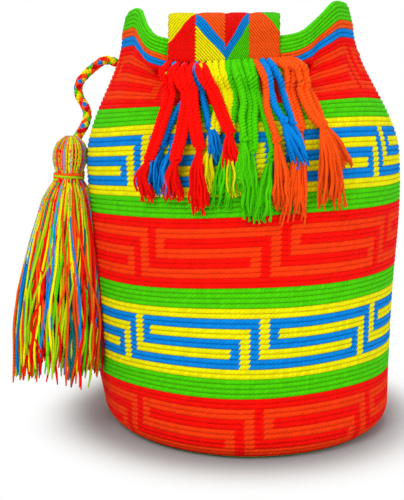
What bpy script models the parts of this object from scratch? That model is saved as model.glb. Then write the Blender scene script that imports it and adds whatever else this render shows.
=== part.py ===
"""A crocheted bucket bag with a woven shoulder strap, a drawstring, two tassels and two cord fringes.

Metres, +Z up. The origin is the centre of the base on the floor, the front faces -Y, and +X is the
viewer's right. Angles round the bag are in degrees from the front towards +X, and heights on the
wall are counted in crochet rows, from row 0 at the rim down to the base.
"""

import math

import bmesh
import bpy
import numpy as np
from mathutils import Vector

MM = 0.001
GAP = 0.4 * MM

# Crochet wall
STITCHES = 224
UNIT_STITCHES = 28
ROW = 3.22 * MM
WALL = 3.4 * MM
BELLY_RADIUS = 111.6 * MM
FOOT_RADIUS = 107.0 * MM
NECK_RADIUS = 81.5 * MM
RIM_RADIUS = 78.5 * MM
CORNER_RADIUS = 15.0 * MM
FIRST_ROW_TURN = math.radians(14.5)
BELLY_ROW = 40
SHOULDER_ROW = 34
NECK_ROW = 4.5
VALLEY_ROW = 26
VALLEY_DROP = 26.0 * MM
LEAN = 0.042
NECK_SHIFT = -5.0 * MM

# Bands of colour from the rim down: rows, ground colour, figure colour, figure's offset in stitches
BANDS = (
    (4, "green", None, 11),
    (2, "orange", None, 11),
    (2, "blue", None, 11),
    (14, "red", "orange", 11),
    (4, "green", None, None),
    (14, "yellow", "blue", 6),
    (4, "green", None, None),
    (14, "red", "orange", 7),
    (4, "green", None, None),
    (14, "yellow", "blue", 3),
    (4, "green", None, None),
    (14, "red", "orange", 2),
)
ROWS = sum(band[0] for band in BANDS)
BAR_ROWS = 2
# One fret: where each of its columns starts, in stitches, and the bars that are figure there
FRET = (
    (0.0, (5,)),
    (2.0, (1, 2, 3, 5)),
    (4.0, (1, 3, 5)),
    (8.5, (1, 3, 5)),
    (13.0, (1, 3, 5)),
    (17.5, (1, 3, 5)),
    (22.0, (1, 3, 4, 5)),
    (24.0, (1,)),
    (26.0, (1, 2, 3, 4, 5)),
)
FRET_UPRIGHT_STITCH = 27
COLUMNS = STITCHES // UNIT_STITCHES * len(FRET)
BASE_RING = 0.35
INNER_ROWS = (1, 5, 9, 13, 17, 22, 28, 40, 62, 86)

# Pleats that the drawstring gathers: angle, depth, half width in degrees
PLEATS = (
    (-40.0, 6.0 * MM, 5.0),
    (-61.0, 2.5 * MM, 8.0),
    (38.0, 5.5 * MM, 5.0),
    (61.0, 2.5 * MM, 8.0),
    (118.0, 4.0 * MM, 7.0),
    (138.0, 5.5 * MM, 5.5),
    (-112.0, 4.0 * MM, 7.0),
    (-134.0, 5.5 * MM, 5.5),
)
PLEAT_START_ROW = 28
PLEAT_FULL_ROW = 15
PLEAT_RIM_SHARE = 0.2

# Strap
STRAP_ANGLE = -5.0
REAR_ANGLE = 180.0 - STRAP_ANGLE
STRAP_WIDTH = 70.0 * MM
STRAP_THICKNESS = 3.4 * MM
STRAP_END_ROW = 6.4
FLAT_START_ROW = 15
STRAP_RISE = 17.0 * MM
STRAP_BEND = 8.0 * MM
STRAP_FOOT = 9.0 * MM
STRAP_STEP = 14.0 * MM
STRAP_COLOURS = (("red", "yellow"), ("orange", "blue"), ("red", "blue"), ("orange", "green"))
STRAP_FACE_COLUMNS = (0, 1, 2, 3, 3, 3, 2, 1, 0, 0)
STRAP_COLOUR_RINGS = 3

# Drawstring and its eyelets
CORD_DIAMETER = 6.5 * MM
CORD_ROW = 11
EYELET_ANGLES = (-90.0, -30.0, 30.0, 90.0, 150.0, 210.0)
EYELET_WIDTH = 15.0 * MM
EYELET_HEIGHT = 10.6 * MM
EYELET_LIP = 1.5 * MM
CROSSING = 4.0
CORD_STEP = 6.5 * MM
CORD_BENDS = (-40.0, -30.0, -20.0, -12.5, -8.0, -4.2, -1.8, 1.8, 4.2, 8.0)
# Free ends of the drawstring, as angle, height and distance out from the wall
FRONT_LOOP = (
    (-91.5, 256.0 * MM, 14.0 * MM),
    (-92.0, 247.5 * MM, 20.0 * MM),
    (-93.0, 238.0 * MM, 20.0 * MM),
    (-97.0, 231.0 * MM, 11.0 * MM),
    (-101.0, 226.0 * MM, 5.0 * MM),
    (-97.0, 220.5 * MM, 5.0 * MM),
    (-88.0, 217.5 * MM, 5.4 * MM),
    (-79.0, 216.0 * MM, 9.7 * MM),
)
REAR_TAIL = (
    (215.0, 237.0 * MM, 11.0 * MM),
    (218.0, 224.0 * MM, 7.2 * MM),
    (220.0, 212.0 * MM, 5.2 * MM),
    (221.0, 203.0 * MM, 9.7 * MM),
)

# Tassels
TASSEL_HEAD_RADIUS = 11.5 * MM
TASSEL_NECK_RADIUS = 8.2 * MM
TASSEL_SKIRT_RADIUS = 33.0 * MM
TASSEL_HEAD_LENGTH = 24.0 * MM
TASSEL_LENGTH = 163.0 * MM
TASSEL_FLUTES = 8
TASSEL_FLUTE_SHARE = 0.07
TASSEL_DROOP = 3.0 * MM
TASSEL_CLEARANCE = 3.4 * MM
FRONT_TASSEL_ANGLE = -77.5
FRONT_TASSEL_TOP = 204.0 * MM
FRONT_TASSEL_FOOT = (-128.5 * MM, -50.0 * MM)
REAR_TASSEL_ANGLE = 221.0
REAR_TASSEL_TOP = 190.0 * MM
REAR_TASSEL_FOOT_ANGLE = 222.0
REAR_TASSEL_FOOT_OUT = 26.0 * MM
BINDING_WIDTH = 7.0 * MM
BINDING_DEPTH = 2.4 * MM

# Fringe
FRINGE_DIAMETER = 4.8 * MM
FRINGE_LAYER = 6.6 * MM
FRINGE_LAYER_TOP = 5.7 * MM
FRINGE_KNOT = 3.3 * MM
FRINGE_TUFT = 3.8 * MM
FRINGE_TIP = 2.2 * MM
FRINGE_SPACING = 5.6 * MM
FRINGE_ON_FACE = 1.0
# Front fringe: name, colour, layer, place across the strap, angle at the tip, knot row, tip row
FRONT_FRINGE = (
    ("red_1", "red", 0, -6.0, -33.0, 27, 40),
    ("blue_1", "blue", 0, -5.0, -28.0, 24, 38),
    ("red_2", "red", 0, -4.0, -22.5, 28, 43),
    ("red_4", "red", 0, -3.0, -17.5, 29, 46),
    ("blue_3", "blue", 0, -2.0, -13.0, 22, 36),
    ("yellow_1", "yellow", 0, -1.0, -8.7, 24, 41),
    ("yellow_2", "yellow", 0, 0.0, -4.2, 25, 42),
    ("green_1", "green", 0, 1.0, 0.3, 25, 45),
    ("green_3", "green", 0, 2.0, 4.8, 27, 44),
    ("green_4", "green", 0, 3.0, 9.5, 28, 47),
    ("blue_5", "blue", 0, 4.0, 15.0, 23, 38),
    ("orange_3", "orange", 0, 5.0, 22.0, 25, 43),
    ("orange_5", "orange", 0, 6.0, 33.0, 24, 38),
    ("blue_2", "blue", 1, -4.5, -26.0, 24, 41),
    ("red_3", "red", 1, -2.5, -7.0, 25, 38),
    ("green_2", "green", 1, 0.5, -1.5, 26, 43),
    ("orange_1", "orange", 1, 2.5, 8.5, 26, 44),
    ("blue_4", "blue", 1, 3.5, 14.0, 21, 36),
    ("orange_4", "orange", 1, 4.5, 26.0, 24, 46),
)
REAR_TIPS = (
    ("orange", 41),
    ("orange", 43),
    ("blue", 40),
    ("green", 44),
    ("green", 42),
    ("yellow", 44),
    ("red", 43),
    ("yellow", 41),
    ("blue", 44),
    ("red", 42),
    ("red", 40),
)
REAR_SPREAD = 4.6


COLOURS = {
    "red": (0.82, 0.004, 0.004),
    "orange": (0.95, 0.09, 0.008),
    "green": (0.07, 0.54, 0.006),
    "blue": (0.0, 0.21, 0.68),
    "yellow": (0.85, 0.78, 0.006),
}
YARNS = list(COLOURS)


def material(name):
    """A matt yarn in one of the bag's colours."""
    found = bpy.data.materials.get(name)
    if found:
        return found
    made = bpy.data.materials.new(name)
    made.use_nodes = True
    shader = made.node_tree.nodes["Principled BSDF"]
    shader.inputs["Base Color"].default_value = (*COLOURS[name], 1.0)
    shader.inputs["Roughness"].default_value = 0.85
    shader.inputs["Metallic"].default_value = 0.0
    made.diffuse_color = (*COLOURS[name], 1.0)
    return made


def smooth(value, low, high):
    """0 at low, 1 at high, with a soft start and end between them."""
    share = np.clip((value - low) / (high - low), 0.0, 1.0)
    return share * share * (3 - 2 * share)


def climb(row):
    """Length of wall between the base's edge and a row."""
    return (ROWS - row) * ROW


def profile(row):
    """Radius and height of the bag's mean outline at a row: a turned corner, a belly and a neck."""
    row = np.asarray(row, dtype=float)
    corner_length = CORNER_RADIUS * (math.pi / 2 - FIRST_ROW_TURN)
    up = climb(row)
    turn = FIRST_ROW_TURN + np.minimum(up, corner_length) / CORNER_RADIUS
    corner_radius = FOOT_RADIUS - CORNER_RADIUS + CORNER_RADIUS * np.sin(turn)
    corner_height = CORNER_RADIUS * (1 - np.cos(turn))
    swell = (BELLY_RADIUS - FOOT_RADIUS) * smooth(-row, corner_length / ROW - ROWS, -BELLY_ROW)
    gather = (BELLY_RADIUS - NECK_RADIUS) * smooth(-row, -SHOULDER_ROW, -NECK_ROW)
    taper = (NECK_RADIUS - RIM_RADIUS) * np.clip(1 - row / NECK_ROW, 0, 1)
    slope_loss = 0.5 * gather**2 / ((SHOULDER_ROW - NECK_ROW) * ROW)
    height = corner_height + np.maximum(up - corner_length, 0) - slope_loss
    return corner_radius + swell - gather - taper, height


def turn_from(angle, centre):
    """Signed angle from a centre, in -180 to 180."""
    return (np.asarray(angle, dtype=float) - centre + 180.0) % 360.0 - 180.0


def valley(angle):
    """1 under the strap, where the rim is pulled down, and 0 at the two ears."""
    front = turn_from(angle, STRAP_ANGLE)
    back = turn_from(angle, REAR_ANGLE)
    left = 1 - smooth(-front, 24.0, 50.0)
    right = 1 - smooth(front, 22.0, 68.0)
    rear = 1 - smooth(np.abs(back), 24.0, 64.0)
    return np.where(front < 0, left, right) * (np.abs(front) < 90) + rear * (np.abs(back) < 90)


def strap_flat(angle):
    """How much further out the neck lies to be flat under the stiff strap, and 0 beyond its edges."""
    half = math.degrees(math.asin(STRAP_WIDTH / 2 / NECK_RADIUS)) + 3.0
    lift = 0.0
    for axis, centre in ((0.0, STRAP_ANGLE), (180.0, REAR_ANGLE)):
        off = turn_from(angle, centre)
        from_axis = centre - axis + np.clip(off, -half, half)
        flat = math.cos(math.radians(STRAP_ANGLE)) / np.cos(np.radians(from_axis)) - 1
        lift = lift + flat * (1 - smooth(np.abs(off), half, half + 9.0))
    return lift


def pleats(angle, widening=1.0):
    """Depth of the gathers at an angle: each is a soft furrow."""
    depth = np.zeros_like(np.asarray(angle, dtype=float))
    for centre, deep, half_width in PLEATS:
        off = turn_from(angle, centre) / (half_width * widening)
        depth += deep * np.exp(-(off**2))
    return depth


def neck_shift(row):
    """How far a row's middle lies beside the axis: the neck leans a little to the left."""
    return NECK_SHIFT * smooth(-row, -BELLY_ROW, -CORD_ROW)


def wall_polar(angle, row, pleated=1.0):
    """Radius and height of the wall's outer face, or of the skin over its pleats."""
    angle, row = np.broadcast_arrays(np.asarray(angle, dtype=float), np.asarray(row, dtype=float))
    radius, height = profile(row)
    low = valley(angle)
    gathered = smooth(-row, -VALLEY_ROW, 0)
    height = height - low * VALLEY_DROP * gathered
    neck = smooth(-row, -FLAT_START_ROW, -STRAP_END_ROW)
    radius = radius * (1 + strap_flat(angle) * neck)
    share = smooth(-row, -PLEAT_START_ROW, -PLEAT_FULL_ROW)
    share = share * (1 - (1 - PLEAT_RIM_SHARE) * (1 - np.clip(row / CORD_ROW, 0, 1)))
    radius = radius - pleats(angle) * share * pleated
    height = height + LEAN * radius * np.sin(np.radians(angle)) * smooth(-row, -ROWS, -BELLY_ROW)
    return radius, height


def on_wall(angle, row, out=0.0, pleated=1.0):
    """Points on the wall, or out from it along its normal."""
    step_angle, step_row = 0.5, 0.25

    def place(angle_there, row_there):
        """Points from angle and row."""
        radius, height = wall_polar(angle_there, row_there, pleated)
        turned = np.radians(angle_there)
        across = radius * np.sin(turned) + neck_shift(row_there)
        return np.stack((across, -radius * np.cos(turned), height), axis=-1)

    angle, row = np.broadcast_arrays(np.asarray(angle, dtype=float), np.asarray(row, dtype=float))
    point = place(angle, row)
    around = place(angle + step_angle, row) - place(angle - step_angle, row)
    upward = place(angle, row - step_row) - place(angle, row + step_row)
    normal = np.cross(around, upward)
    normal = normal / np.linalg.norm(normal, axis=-1, keepdims=True)
    return point + normal * out


def smooth_line(points, step):
    """Points about a step apart on a smooth curve through the given points."""
    points = np.asarray(points, dtype=float)
    padded = np.vstack((2 * points[0] - points[1], points, 2 * points[-1] - points[-2]))
    fine = []
    for i in range(len(points) - 1):
        before, start, end, after = padded[i : i + 4]
        for t in np.linspace(0, 1, 16, endpoint=False):
            fine.append(
                0.5
                * (
                    2 * start
                    + (end - before) * t
                    + (2 * before - 5 * start + 4 * end - after) * t**2
                    + (3 * start - before - 3 * end + after) * t**3
                )
            )
    fine.append(points[-1])
    fine = np.array(fine)
    run = np.concatenate(([0], np.cumsum(np.linalg.norm(np.diff(fine, axis=0), axis=1))))
    count = max(3, int(round(run[-1] / step)) + 1)
    marks = np.linspace(0, run[-1], count)
    return np.stack([np.interp(marks, run, fine[:, axis]) for axis in range(3)], axis=-1)


def add_mesh(name, points, faces, colours, picks=None):
    """A new object from points and faces, with a colour picked for each face."""
    mesh = bpy.data.meshes.new(name)
    mesh.from_pydata([tuple(point) for point in points], [], faces)
    for colour in colours:
        mesh.materials.append(material(colour))
    if picks is not None:
        mesh.polygons.foreach_set("material_index", picks)
    mesh.shade_smooth()
    mesh.set_sharp_from_angle(angle=math.radians(50))
    made = bpy.data.objects.new(name, mesh)
    bpy.context.collection.objects.link(made)
    return made


def ring_faces(rings, count):
    """Quads between one ring and the next."""
    faces = []
    for ring in range(rings - 1):
        for k in range(count):
            after = (k + 1) % count
            low, high = ring * count, (ring + 1) * count
            faces.append((low + k, low + after, high + after, high + k))
    return faces


def add_cord(name, points, diameter, colour, swells=None):
    """A round cord with filled ends on the given points, thicker where swells say so."""
    curve = bpy.data.curves.new(name, "CURVE")
    curve.dimensions = "3D"
    curve.bevel_depth = diameter / 2
    curve.bevel_resolution = 2
    curve.use_fill_caps = True
    spline = curve.splines.new("POLY")
    spline.points.add(len(points) - 1)
    for i, (x, y, z) in enumerate(points):
        spline.points[i].co = (x, y, z, 1.0)
        spline.points[i].radius = 1.0 if swells is None else swells[i]
    curve.materials.append(material(colour))
    made = bpy.data.objects.new(name, curve)
    bpy.context.collection.objects.link(made)
    return made


def band_rings():
    """The wall's rings from the rim down: row, and the fret band and bar that starts there."""
    rings = []
    row = 0
    for number, (rows, _, figure, _) in enumerate(BANDS):
        bars = rows // BAR_ROWS if figure or row == 0 else 1
        for bar in range(bars):
            rings.append((row + bar * rows / bars, number, bar))
        row += rows
    rings.append((ROWS, None, None))
    return rings


def fret_shift(row):
    """How far the frets are turned at a row, in stitches: even in each fret band, sliding between."""
    rows, shifts = [], []
    start = 0
    for count, _, _, shift in BANDS:
        if shift is not None:
            rows += [start, start + count]
            shifts += [shift, shift]
        start += count
    return float(np.interp(row, rows, shifts))


def column_angles(row):
    """Angles of the wall's columns at a row, which follow the frets."""
    stitch = 360.0 / STITCHES
    starts = [
        unit * UNIT_STITCHES + start for unit in range(STITCHES // UNIT_STITCHES) for start, _ in FRET
    ]
    return (np.array(starts) + fret_shift(row) - FRET_UPRIGHT_STITCH) * stitch


def flat_ring(radius, height):
    """A ring of the wall's columns on a level."""
    angles = np.radians(column_angles(ROWS))
    return np.stack((radius * np.sin(angles), -radius * np.cos(angles), height + 0 * angles), axis=-1)


def fret_colours(band, bar):
    """Colour of each column's face in one bar of a band."""
    _, ground, figure, _ = BANDS[band]
    if not figure:
        return [ground] * COLUMNS
    return [figure if bar in FRET[k % len(FRET)][1] else ground for k in range(COLUMNS)]


def body_rings():
    """Rings from the base's middle up the outside and down the inside, with the colours after each."""
    foot = FOOT_RADIUS - CORNER_RADIUS
    edging = [BANDS[0][1]] * COLUMNS
    rings = [(flat_ring(BASE_RING * foot, 0.0), edging), (flat_ring(foot, 0.0), edging)]
    starts = band_rings()
    for (row, _, _), (_, band, bar) in zip(reversed(starts), reversed(starts[:-1])):
        rings.append((on_wall(column_angles(row), row), fret_colours(band, bar)))
    rings.append((on_wall(column_angles(0), 0), edging))
    crest = on_wall(column_angles(0), 0, -WALL / 2)
    crest[:, 2] += WALL * 0.35
    rings.append((crest, edging))
    for row in INNER_ROWS:
        rings.append((on_wall(column_angles(row), row, -WALL), [colour_of_row(row)] * COLUMNS))
    rings.append((flat_ring(foot - WALL, WALL), edging))
    return rings


def add_bag_body():
    """The crocheted bucket in one piece: base, wall, pleated neck and rim, as rings joined by quads."""
    rings = body_rings()
    middles = np.array(((0.0, 0.0, 0.0), (0.0, 0.0, WALL)))
    points = np.vstack([ring for ring, _ in rings] + [middles])
    faces = ring_faces(len(rings), COLUMNS)
    picks = [YARNS.index(colour) for _, colours in rings[:-1] for colour in colours]
    below, inside = len(points) - 2, len(points) - 1
    last = (len(rings) - 1) * COLUMNS
    for k in range(COLUMNS):
        after = (k + 1) % COLUMNS
        faces += [(below, after, k), (inside, last + k, last + after)]
    picks += [YARNS.index(BANDS[0][1])] * (2 * COLUMNS)
    body = add_mesh("bag_body", points, faces, YARNS, picks)
    for number, angle in enumerate(EYELET_ANGLES, start=1):
        cut_eyelet(body, number, angle)


def colour_of_row(row):
    """Ground colour of the band that holds a row."""
    start = 0
    for count, ground, _, _ in BANDS:
        start += count
        if row < start:
            return ground
    return BANDS[-1][1]


def cut_eyelet(body, number, angle):
    """An oval hole through the wall on the drawstring's row."""
    cutter_mesh = bpy.data.meshes.new(f"eyelet_cutter_{number}")
    shape = bmesh.new()
    bmesh.ops.create_cone(shape, cap_ends=True, segments=14, radius1=0.5, radius2=0.5, depth=6 * WALL)
    for vert in shape.verts:
        vert.co.x *= EYELET_WIDTH
        vert.co.y *= EYELET_HEIGHT
    shape.to_mesh(cutter_mesh)
    shape.free()
    cutter = bpy.data.objects.new(cutter_mesh.name, cutter_mesh)
    bpy.context.collection.objects.link(cutter)
    centre = on_wall(angle, CORD_ROW, -WALL / 2)
    outward = Vector(on_wall(angle, CORD_ROW, WALL) - on_wall(angle, CORD_ROW))
    cutter.location = centre
    cutter.rotation_euler = outward.to_track_quat("Z", "Y").to_euler()
    cutter.hide_render = True
    cutter.display_type = "WIRE"
    cut = body.modifiers.new(cutter.name, "BOOLEAN")
    cut.operation = "DIFFERENCE"
    cut.solver = "EXACT"
    cut.object = cutter


def strap_route():
    """The strap's middle line, front end to rear end: over the mouth, down behind, and back up."""
    half = STRAP_THICKNESS / 2
    lift = 2 * GAP + half
    on_rim = (STRAP_END_ROW, 4, 2, 0)
    front = [on_wall(STRAP_ANGLE, row, lift) for row in on_rim]
    back = [on_wall(REAR_ANGLE, row, lift) for row in on_rim]
    x = front[0][0]
    y_front = front[-1][1]
    y_back = back[-1][1]
    top = front[-1][2] + STRAP_RISE
    fold = back[-1][2] + 0.62 * STRAP_RISE
    over = fold + STRAP_THICKNESS + 4 * GAP
    under_fringe = FRINGE_DIAMETER + STRAP_THICKNESS + 5 * GAP
    behind = [on_wall(REAR_ANGLE, row, under_fringe + half) for row in (20, 24, 28, 32, 38)]
    inner = BELLY_RADIUS + 3 * GAP + 2 * FRINGE_TUFT + half
    outer = inner + STRAP_THICKNESS + GAP
    step = STRAP_THICKNESS + 1.5 * GAP
    low = STRAP_FOOT + half
    route = [(p[1], p[2]) for p in front]
    route += [
        (y_front, top - 8 * MM),
        (y_front + 4 * MM, top - 2 * MM),
        (y_front + 12 * MM, top),
        (y_front + 42 * MM, fold + 3 * MM),
        (0, fold),
        (y_back - 42 * MM, fold + 2 * MM),
        (y_back - 12 * MM, over),
        (y_back + 0.75 * STRAP_BEND, over),
        (y_back + 1.5 * STRAP_BEND + step, fold - 8 * MM + step),
    ]
    route += [(p[1] + step, p[2] + 0.4 * step) for p in behind]
    route += [
        (outer, behind[-1][2] - 40 * MM),
        (outer + 1 * MM, low + 62 * MM),
        (outer + 5 * MM, low + 30 * MM),
        (outer + 5 * MM, low + 11 * MM),
        (outer - 2.5 * MM, low),
        (outer - 10 * MM, low + 10 * MM),
        (outer - 9.5 * MM, low + 30 * MM),
        (inner - 1 * MM, low + 62 * MM),
        (inner, behind[-1][2] - 40 * MM),
    ]
    route += [(p[1], p[2]) for p in reversed(behind)]
    route += [
        (y_back + 1.5 * STRAP_BEND, fold - 9 * MM),
        (y_back + 0.75 * STRAP_BEND, fold),
        (y_back, fold - 7 * MM),
    ]
    route += [(p[1], p[2]) for p in reversed(back)]
    return smooth_line([(x, y, z) for y, z in route], STRAP_STEP)


def add_strap():
    """The woven strap: a flat band carried along its route, four columns wide."""
    line = strap_route()
    along = np.gradient(line, axis=0)
    along /= np.linalg.norm(along, axis=1, keepdims=True)
    across = np.array((1.0, 0.0, 0.0))
    face = np.cross(across, along)
    columns = len(STRAP_COLOURS)
    offsets = np.linspace(-STRAP_WIDTH / 2, STRAP_WIDTH / 2, columns + 1)
    half = STRAP_THICKNESS / 2
    section = [(x, half) for x in offsets] + [(x, -half) for x in reversed(offsets)]
    count, rings = len(section), len(line)
    grid = np.stack([line + across * x + face * y for x, y in section], axis=1)
    faces = ring_faces(rings, count)
    picks = []
    for ring in range(rings - 1):
        for column in STRAP_FACE_COLUMNS:
            colour = STRAP_COLOURS[column][ring // STRAP_COLOUR_RINGS % 2]
            picks.append(YARNS.index(colour))
    faces += [tuple(reversed(range(count))), tuple(range((rings - 1) * count, rings * count))]
    picks += [0, 0]
    add_mesh("shoulder_strap", grid.reshape(-1, 3), faces, YARNS, picks)


def drawstring_out(angle):
    """How far the drawstring's middle lies out from the skin over the pleats; inside is below 0."""
    angle = np.asarray(angle, dtype=float)
    reach = CORD_DIAMETER / 2 + 2 * GAP
    inside = -pleats(angle, 1.6) - WALL - reach
    share = np.zeros_like(angle)
    for number, eyelet in enumerate(EYELET_ANGLES[1:-1]):
        step = smooth(angle, eyelet - CROSSING, eyelet + CROSSING)
        share = share + step if number % 2 == 0 else share - step
    return inside + (reach - inside) * share


def drawstring_route():
    """The threaded part of the drawstring, from the first eyelet round to the last, in and out."""
    first, last = EYELET_ANGLES[0], EYELET_ANGLES[-1]
    angles = [first + 4.0, first + 8.0]
    for eyelet in EYELET_ANGLES[1:-1]:
        angles += [eyelet + off for off in CORD_BENDS]
    angles += [last + off for off in (-40.0, -30.0, -20.0, -8.0, -4.0)]
    angles = np.array(angles)
    middle = on_wall(angles, CORD_ROW, drawstring_out(angles)[:, None], 0.0)
    within = -WALL - 5 * GAP
    start = [on_wall(first, CORD_ROW, EYELET_LIP), on_wall(first, CORD_ROW, within)]
    end = [on_wall(last, CORD_ROW, within), on_wall(last, CORD_ROW, EYELET_LIP)]
    return np.vstack((start, middle, end))


def beside_wall(angle, height, out):
    """A point at an angle and a height, out from the bag's side along the radius."""
    rows = np.arange(ROWS, -0.1, -0.5)
    radius, heights = wall_polar(angle, rows)
    reach = float(np.interp(height, heights, radius)) + out
    middle = float(np.interp(height, heights, neck_shift(rows)))
    turned = math.radians(angle)
    return (middle + reach * math.sin(turned), -reach * math.cos(turned), height)


def add_free_end(name, eyelet, bends, top):
    """One free end of the drawstring: out of its eyelet, over its bends and down to its tassel."""
    above = np.array((0, 0, 2 * GAP))
    route = [on_wall(eyelet, CORD_ROW, EYELET_LIP + out) for out in (2 * GAP, CORD_DIAMETER)]
    route += [beside_wall(angle, height, out) for angle, height, out in bends]
    route += [top + 8 * above, top + 2 * above]
    add_cord(name, smooth_line(route, CORD_STEP), CORD_DIAMETER, "orange")


def keep_off_bag(points, clearance):
    """Points pushed out from the bag's axis until they clear its side."""
    moved = points.copy()
    angles = np.degrees(np.arctan2(points[:, 0], -points[:, 1]))
    rows = np.arange(ROWS, -0.1, -1.0)
    for i, (x, y, z) in enumerate(points):
        radius, heights = wall_polar(angles[i], rows)
        least = float(np.interp(z, heights, radius)) + clearance
        middle = float(np.interp(z, heights, neck_shift(rows)))
        reach = math.hypot(x - middle, y)
        if reach < least:
            moved[i, :2] = (middle + (x - middle) * least / reach, y * least / reach)
    return moved


def add_tassel(name, top, foot):
    """A yarn tassel hung from top towards foot, with a fluted skirt, and its neck binding."""
    neck = TASSEL_HEAD_LENGTH / TASSEL_LENGTH
    band = BINDING_WIDTH / TASSEL_LENGTH
    profile_points = (
        (0.0, 0.45 * TASSEL_HEAD_RADIUS),
        (0.03, 0.86 * TASSEL_HEAD_RADIUS),
        (0.08, TASSEL_HEAD_RADIUS),
        (neck * 0.82, 0.96 * TASSEL_HEAD_RADIUS),
        (neck, TASSEL_NECK_RADIUS),
        (neck + band, TASSEL_NECK_RADIUS),
        (neck + 2.2 * band, 0.44 * TASSEL_SKIRT_RADIUS),
        (0.42, 0.62 * TASSEL_SKIRT_RADIUS),
        (0.62, 0.80 * TASSEL_SKIRT_RADIUS),
        (0.82, 0.94 * TASSEL_SKIRT_RADIUS),
        (0.97, TASSEL_SKIRT_RADIUS),
        (1.0, 0.90 * TASSEL_SKIRT_RADIUS),
    )
    count = TASSEL_FLUTES * 3
    turn = np.linspace(0, 2 * math.pi, count, endpoint=False)
    rings = []
    for share, radius in profile_points:
        centre = top + (foot - top) * share
        flute = 1 + TASSEL_FLUTE_SHARE * np.cos(TASSEL_FLUTES * turn) * (share > neck + band)
        droop = np.sin(3 * turn + 0.8) * TASSEL_DROOP * (share > 0.9)
        ring = np.stack(
            (
                centre[0] + radius * flute * np.cos(turn),
                centre[1] + radius * flute * np.sin(turn),
                centre[2] + droop,
            ),
            axis=-1,
        )
        rings.append(keep_off_bag(ring, 2 * GAP) if share > neck + band else ring)
    points = np.vstack(rings)
    faces = [tuple(reversed(f)) for f in ring_faces(len(rings), count)]
    last = (len(rings) - 1) * count
    faces.append(tuple(range(count)))
    faces.append(tuple(reversed(range(last, last + count))))
    picks = [k // 3 % len(YARNS) for _ in range(len(rings) - 1) for k in range(count)] + [0, 0]
    add_mesh(name, points, faces, YARNS, picks)
    add_binding(f"{name}_binding", top, foot, neck, band)


def add_binding(name, top, foot, neck, band):
    """The yarn wound round a tassel's neck: a ring with a rounded outer face."""
    count = 20
    turn = np.linspace(0, 2 * math.pi, count, endpoint=False)
    inner = TASSEL_NECK_RADIUS + 0.3 * MM
    section = (
        (neck + 0.12 * band, inner),
        (neck + 0.12 * band, inner + 0.6 * BINDING_DEPTH),
        (neck + 0.5 * band, inner + BINDING_DEPTH),
        (neck + 0.88 * band, inner + 0.6 * BINDING_DEPTH),
        (neck + 0.88 * band, inner),
    )
    rings = []
    for share, radius in section:
        x, y, z = top + (foot - top) * share
        ring = (x + radius * np.cos(turn), y + radius * np.sin(turn), z + 0 * turn)
        rings.append(np.stack(ring, axis=-1))
    total = len(rings) * count
    faces = [tuple(reversed(face)) for face in ring_faces(len(rings) + 1, count)]
    faces = [tuple(index % total for index in face) for face in faces]
    add_mesh(name, np.vstack(rings), faces, ["orange"])


def beside_skin(angles, rows, out):
    """Points straight out from the bag's axis, as far as leaves the given distance to the skin."""
    skin = on_wall(angles, rows, 0.0, 0.0)
    normal = (on_wall(angles, rows, MM, 0.0) - skin) / MM
    turned = np.radians(angles)
    away = np.stack((np.sin(turned), -np.cos(turned), 0 * turned), axis=-1)
    lean = np.sum(normal * away, axis=-1)
    return skin + away * (out / lean)[:, None]


def fringe_out(rows, layer, over_cord):
    """How far a fringe cord's middle lies from the wall: on the strap's face, over the drawstring, down."""
    rest = FRINGE_DIAMETER / 2 + 2 * GAP
    on_face = 3 * GAP + STRAP_THICKNESS + FRINGE_DIAMETER / 2
    on_cord = CORD_DIAMETER + 8 * GAP + FRINGE_DIAMETER / 2
    crossing = on_cord if over_cord else on_face
    marks = (STRAP_END_ROW, CORD_ROW - 2, CORD_ROW + 2, CORD_ROW + 7)
    out = np.interp(rows, marks, (on_face, crossing, crossing, rest))
    flare = (FRINGE_TUFT - FRINGE_DIAMETER / 2) * smooth(rows, CORD_ROW + 8, CORD_ROW + 12)
    lift = np.interp(rows, marks[:2], (FRINGE_LAYER_TOP, FRINGE_LAYER))
    return out + flare + layer * (lift + 1.5 * flare)


def add_fringe(prefix, cords, over_cord):
    """Twisted cords hung from the strap's end, each with a knot and a frayed tuft in one piece."""
    for name, colour, layer, top_angle, tip_angle, knot_row, tip_row in cords:
        first = STRAP_END_ROW - FRINGE_ON_FACE
        shoulder = CORD_ROW + 7
        bend = np.array((first, CORD_ROW - 2, CORD_ROW + 2, shoulder))
        tuft = np.array((knot_row + 1.5, knot_row + 6.0, (knot_row + 6.0 + tip_row) / 2, tip_row))
        rows = np.concatenate((bend, np.linspace(shoulder, knot_row, 3)[1:], tuft))
        share = ((rows - first) / (tip_row - first)) ** 0.8
        angles = top_angle + (tip_angle - top_angle) * share
        points = beside_skin(angles, rows, fringe_out(rows, layer, over_cord))
        radii = (
            (first, FRINGE_DIAMETER / 2),
            (knot_row - 2.0, FRINGE_DIAMETER / 2),
            (knot_row, FRINGE_KNOT),
            (knot_row + 1.5, FRINGE_DIAMETER / 2),
            (knot_row + 6.0, FRINGE_TUFT),
            (tip_row, FRINGE_TIP),
        )
        thick = np.interp(rows, [row for row, _ in radii], [2 * r / FRINGE_DIAMETER for _, r in radii])
        add_cord(f"{prefix}_{name}", points, FRINGE_DIAMETER, colour, thick)


def front_fringe():
    """The front fringe's cords, each at its place across the strap's end."""
    face = on_wall(STRAP_ANGLE, STRAP_END_ROW)
    cords = []
    for name, colour, layer, place, tip_angle, knot_row, tip_row in FRONT_FRINGE:
        across = face[0] - neck_shift(STRAP_END_ROW) + place * FRINGE_SPACING
        top_angle = math.degrees(math.atan2(across, -face[1]))
        cords.append((name, colour, layer, top_angle, tip_angle, knot_row, tip_row))
    return cords


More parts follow.
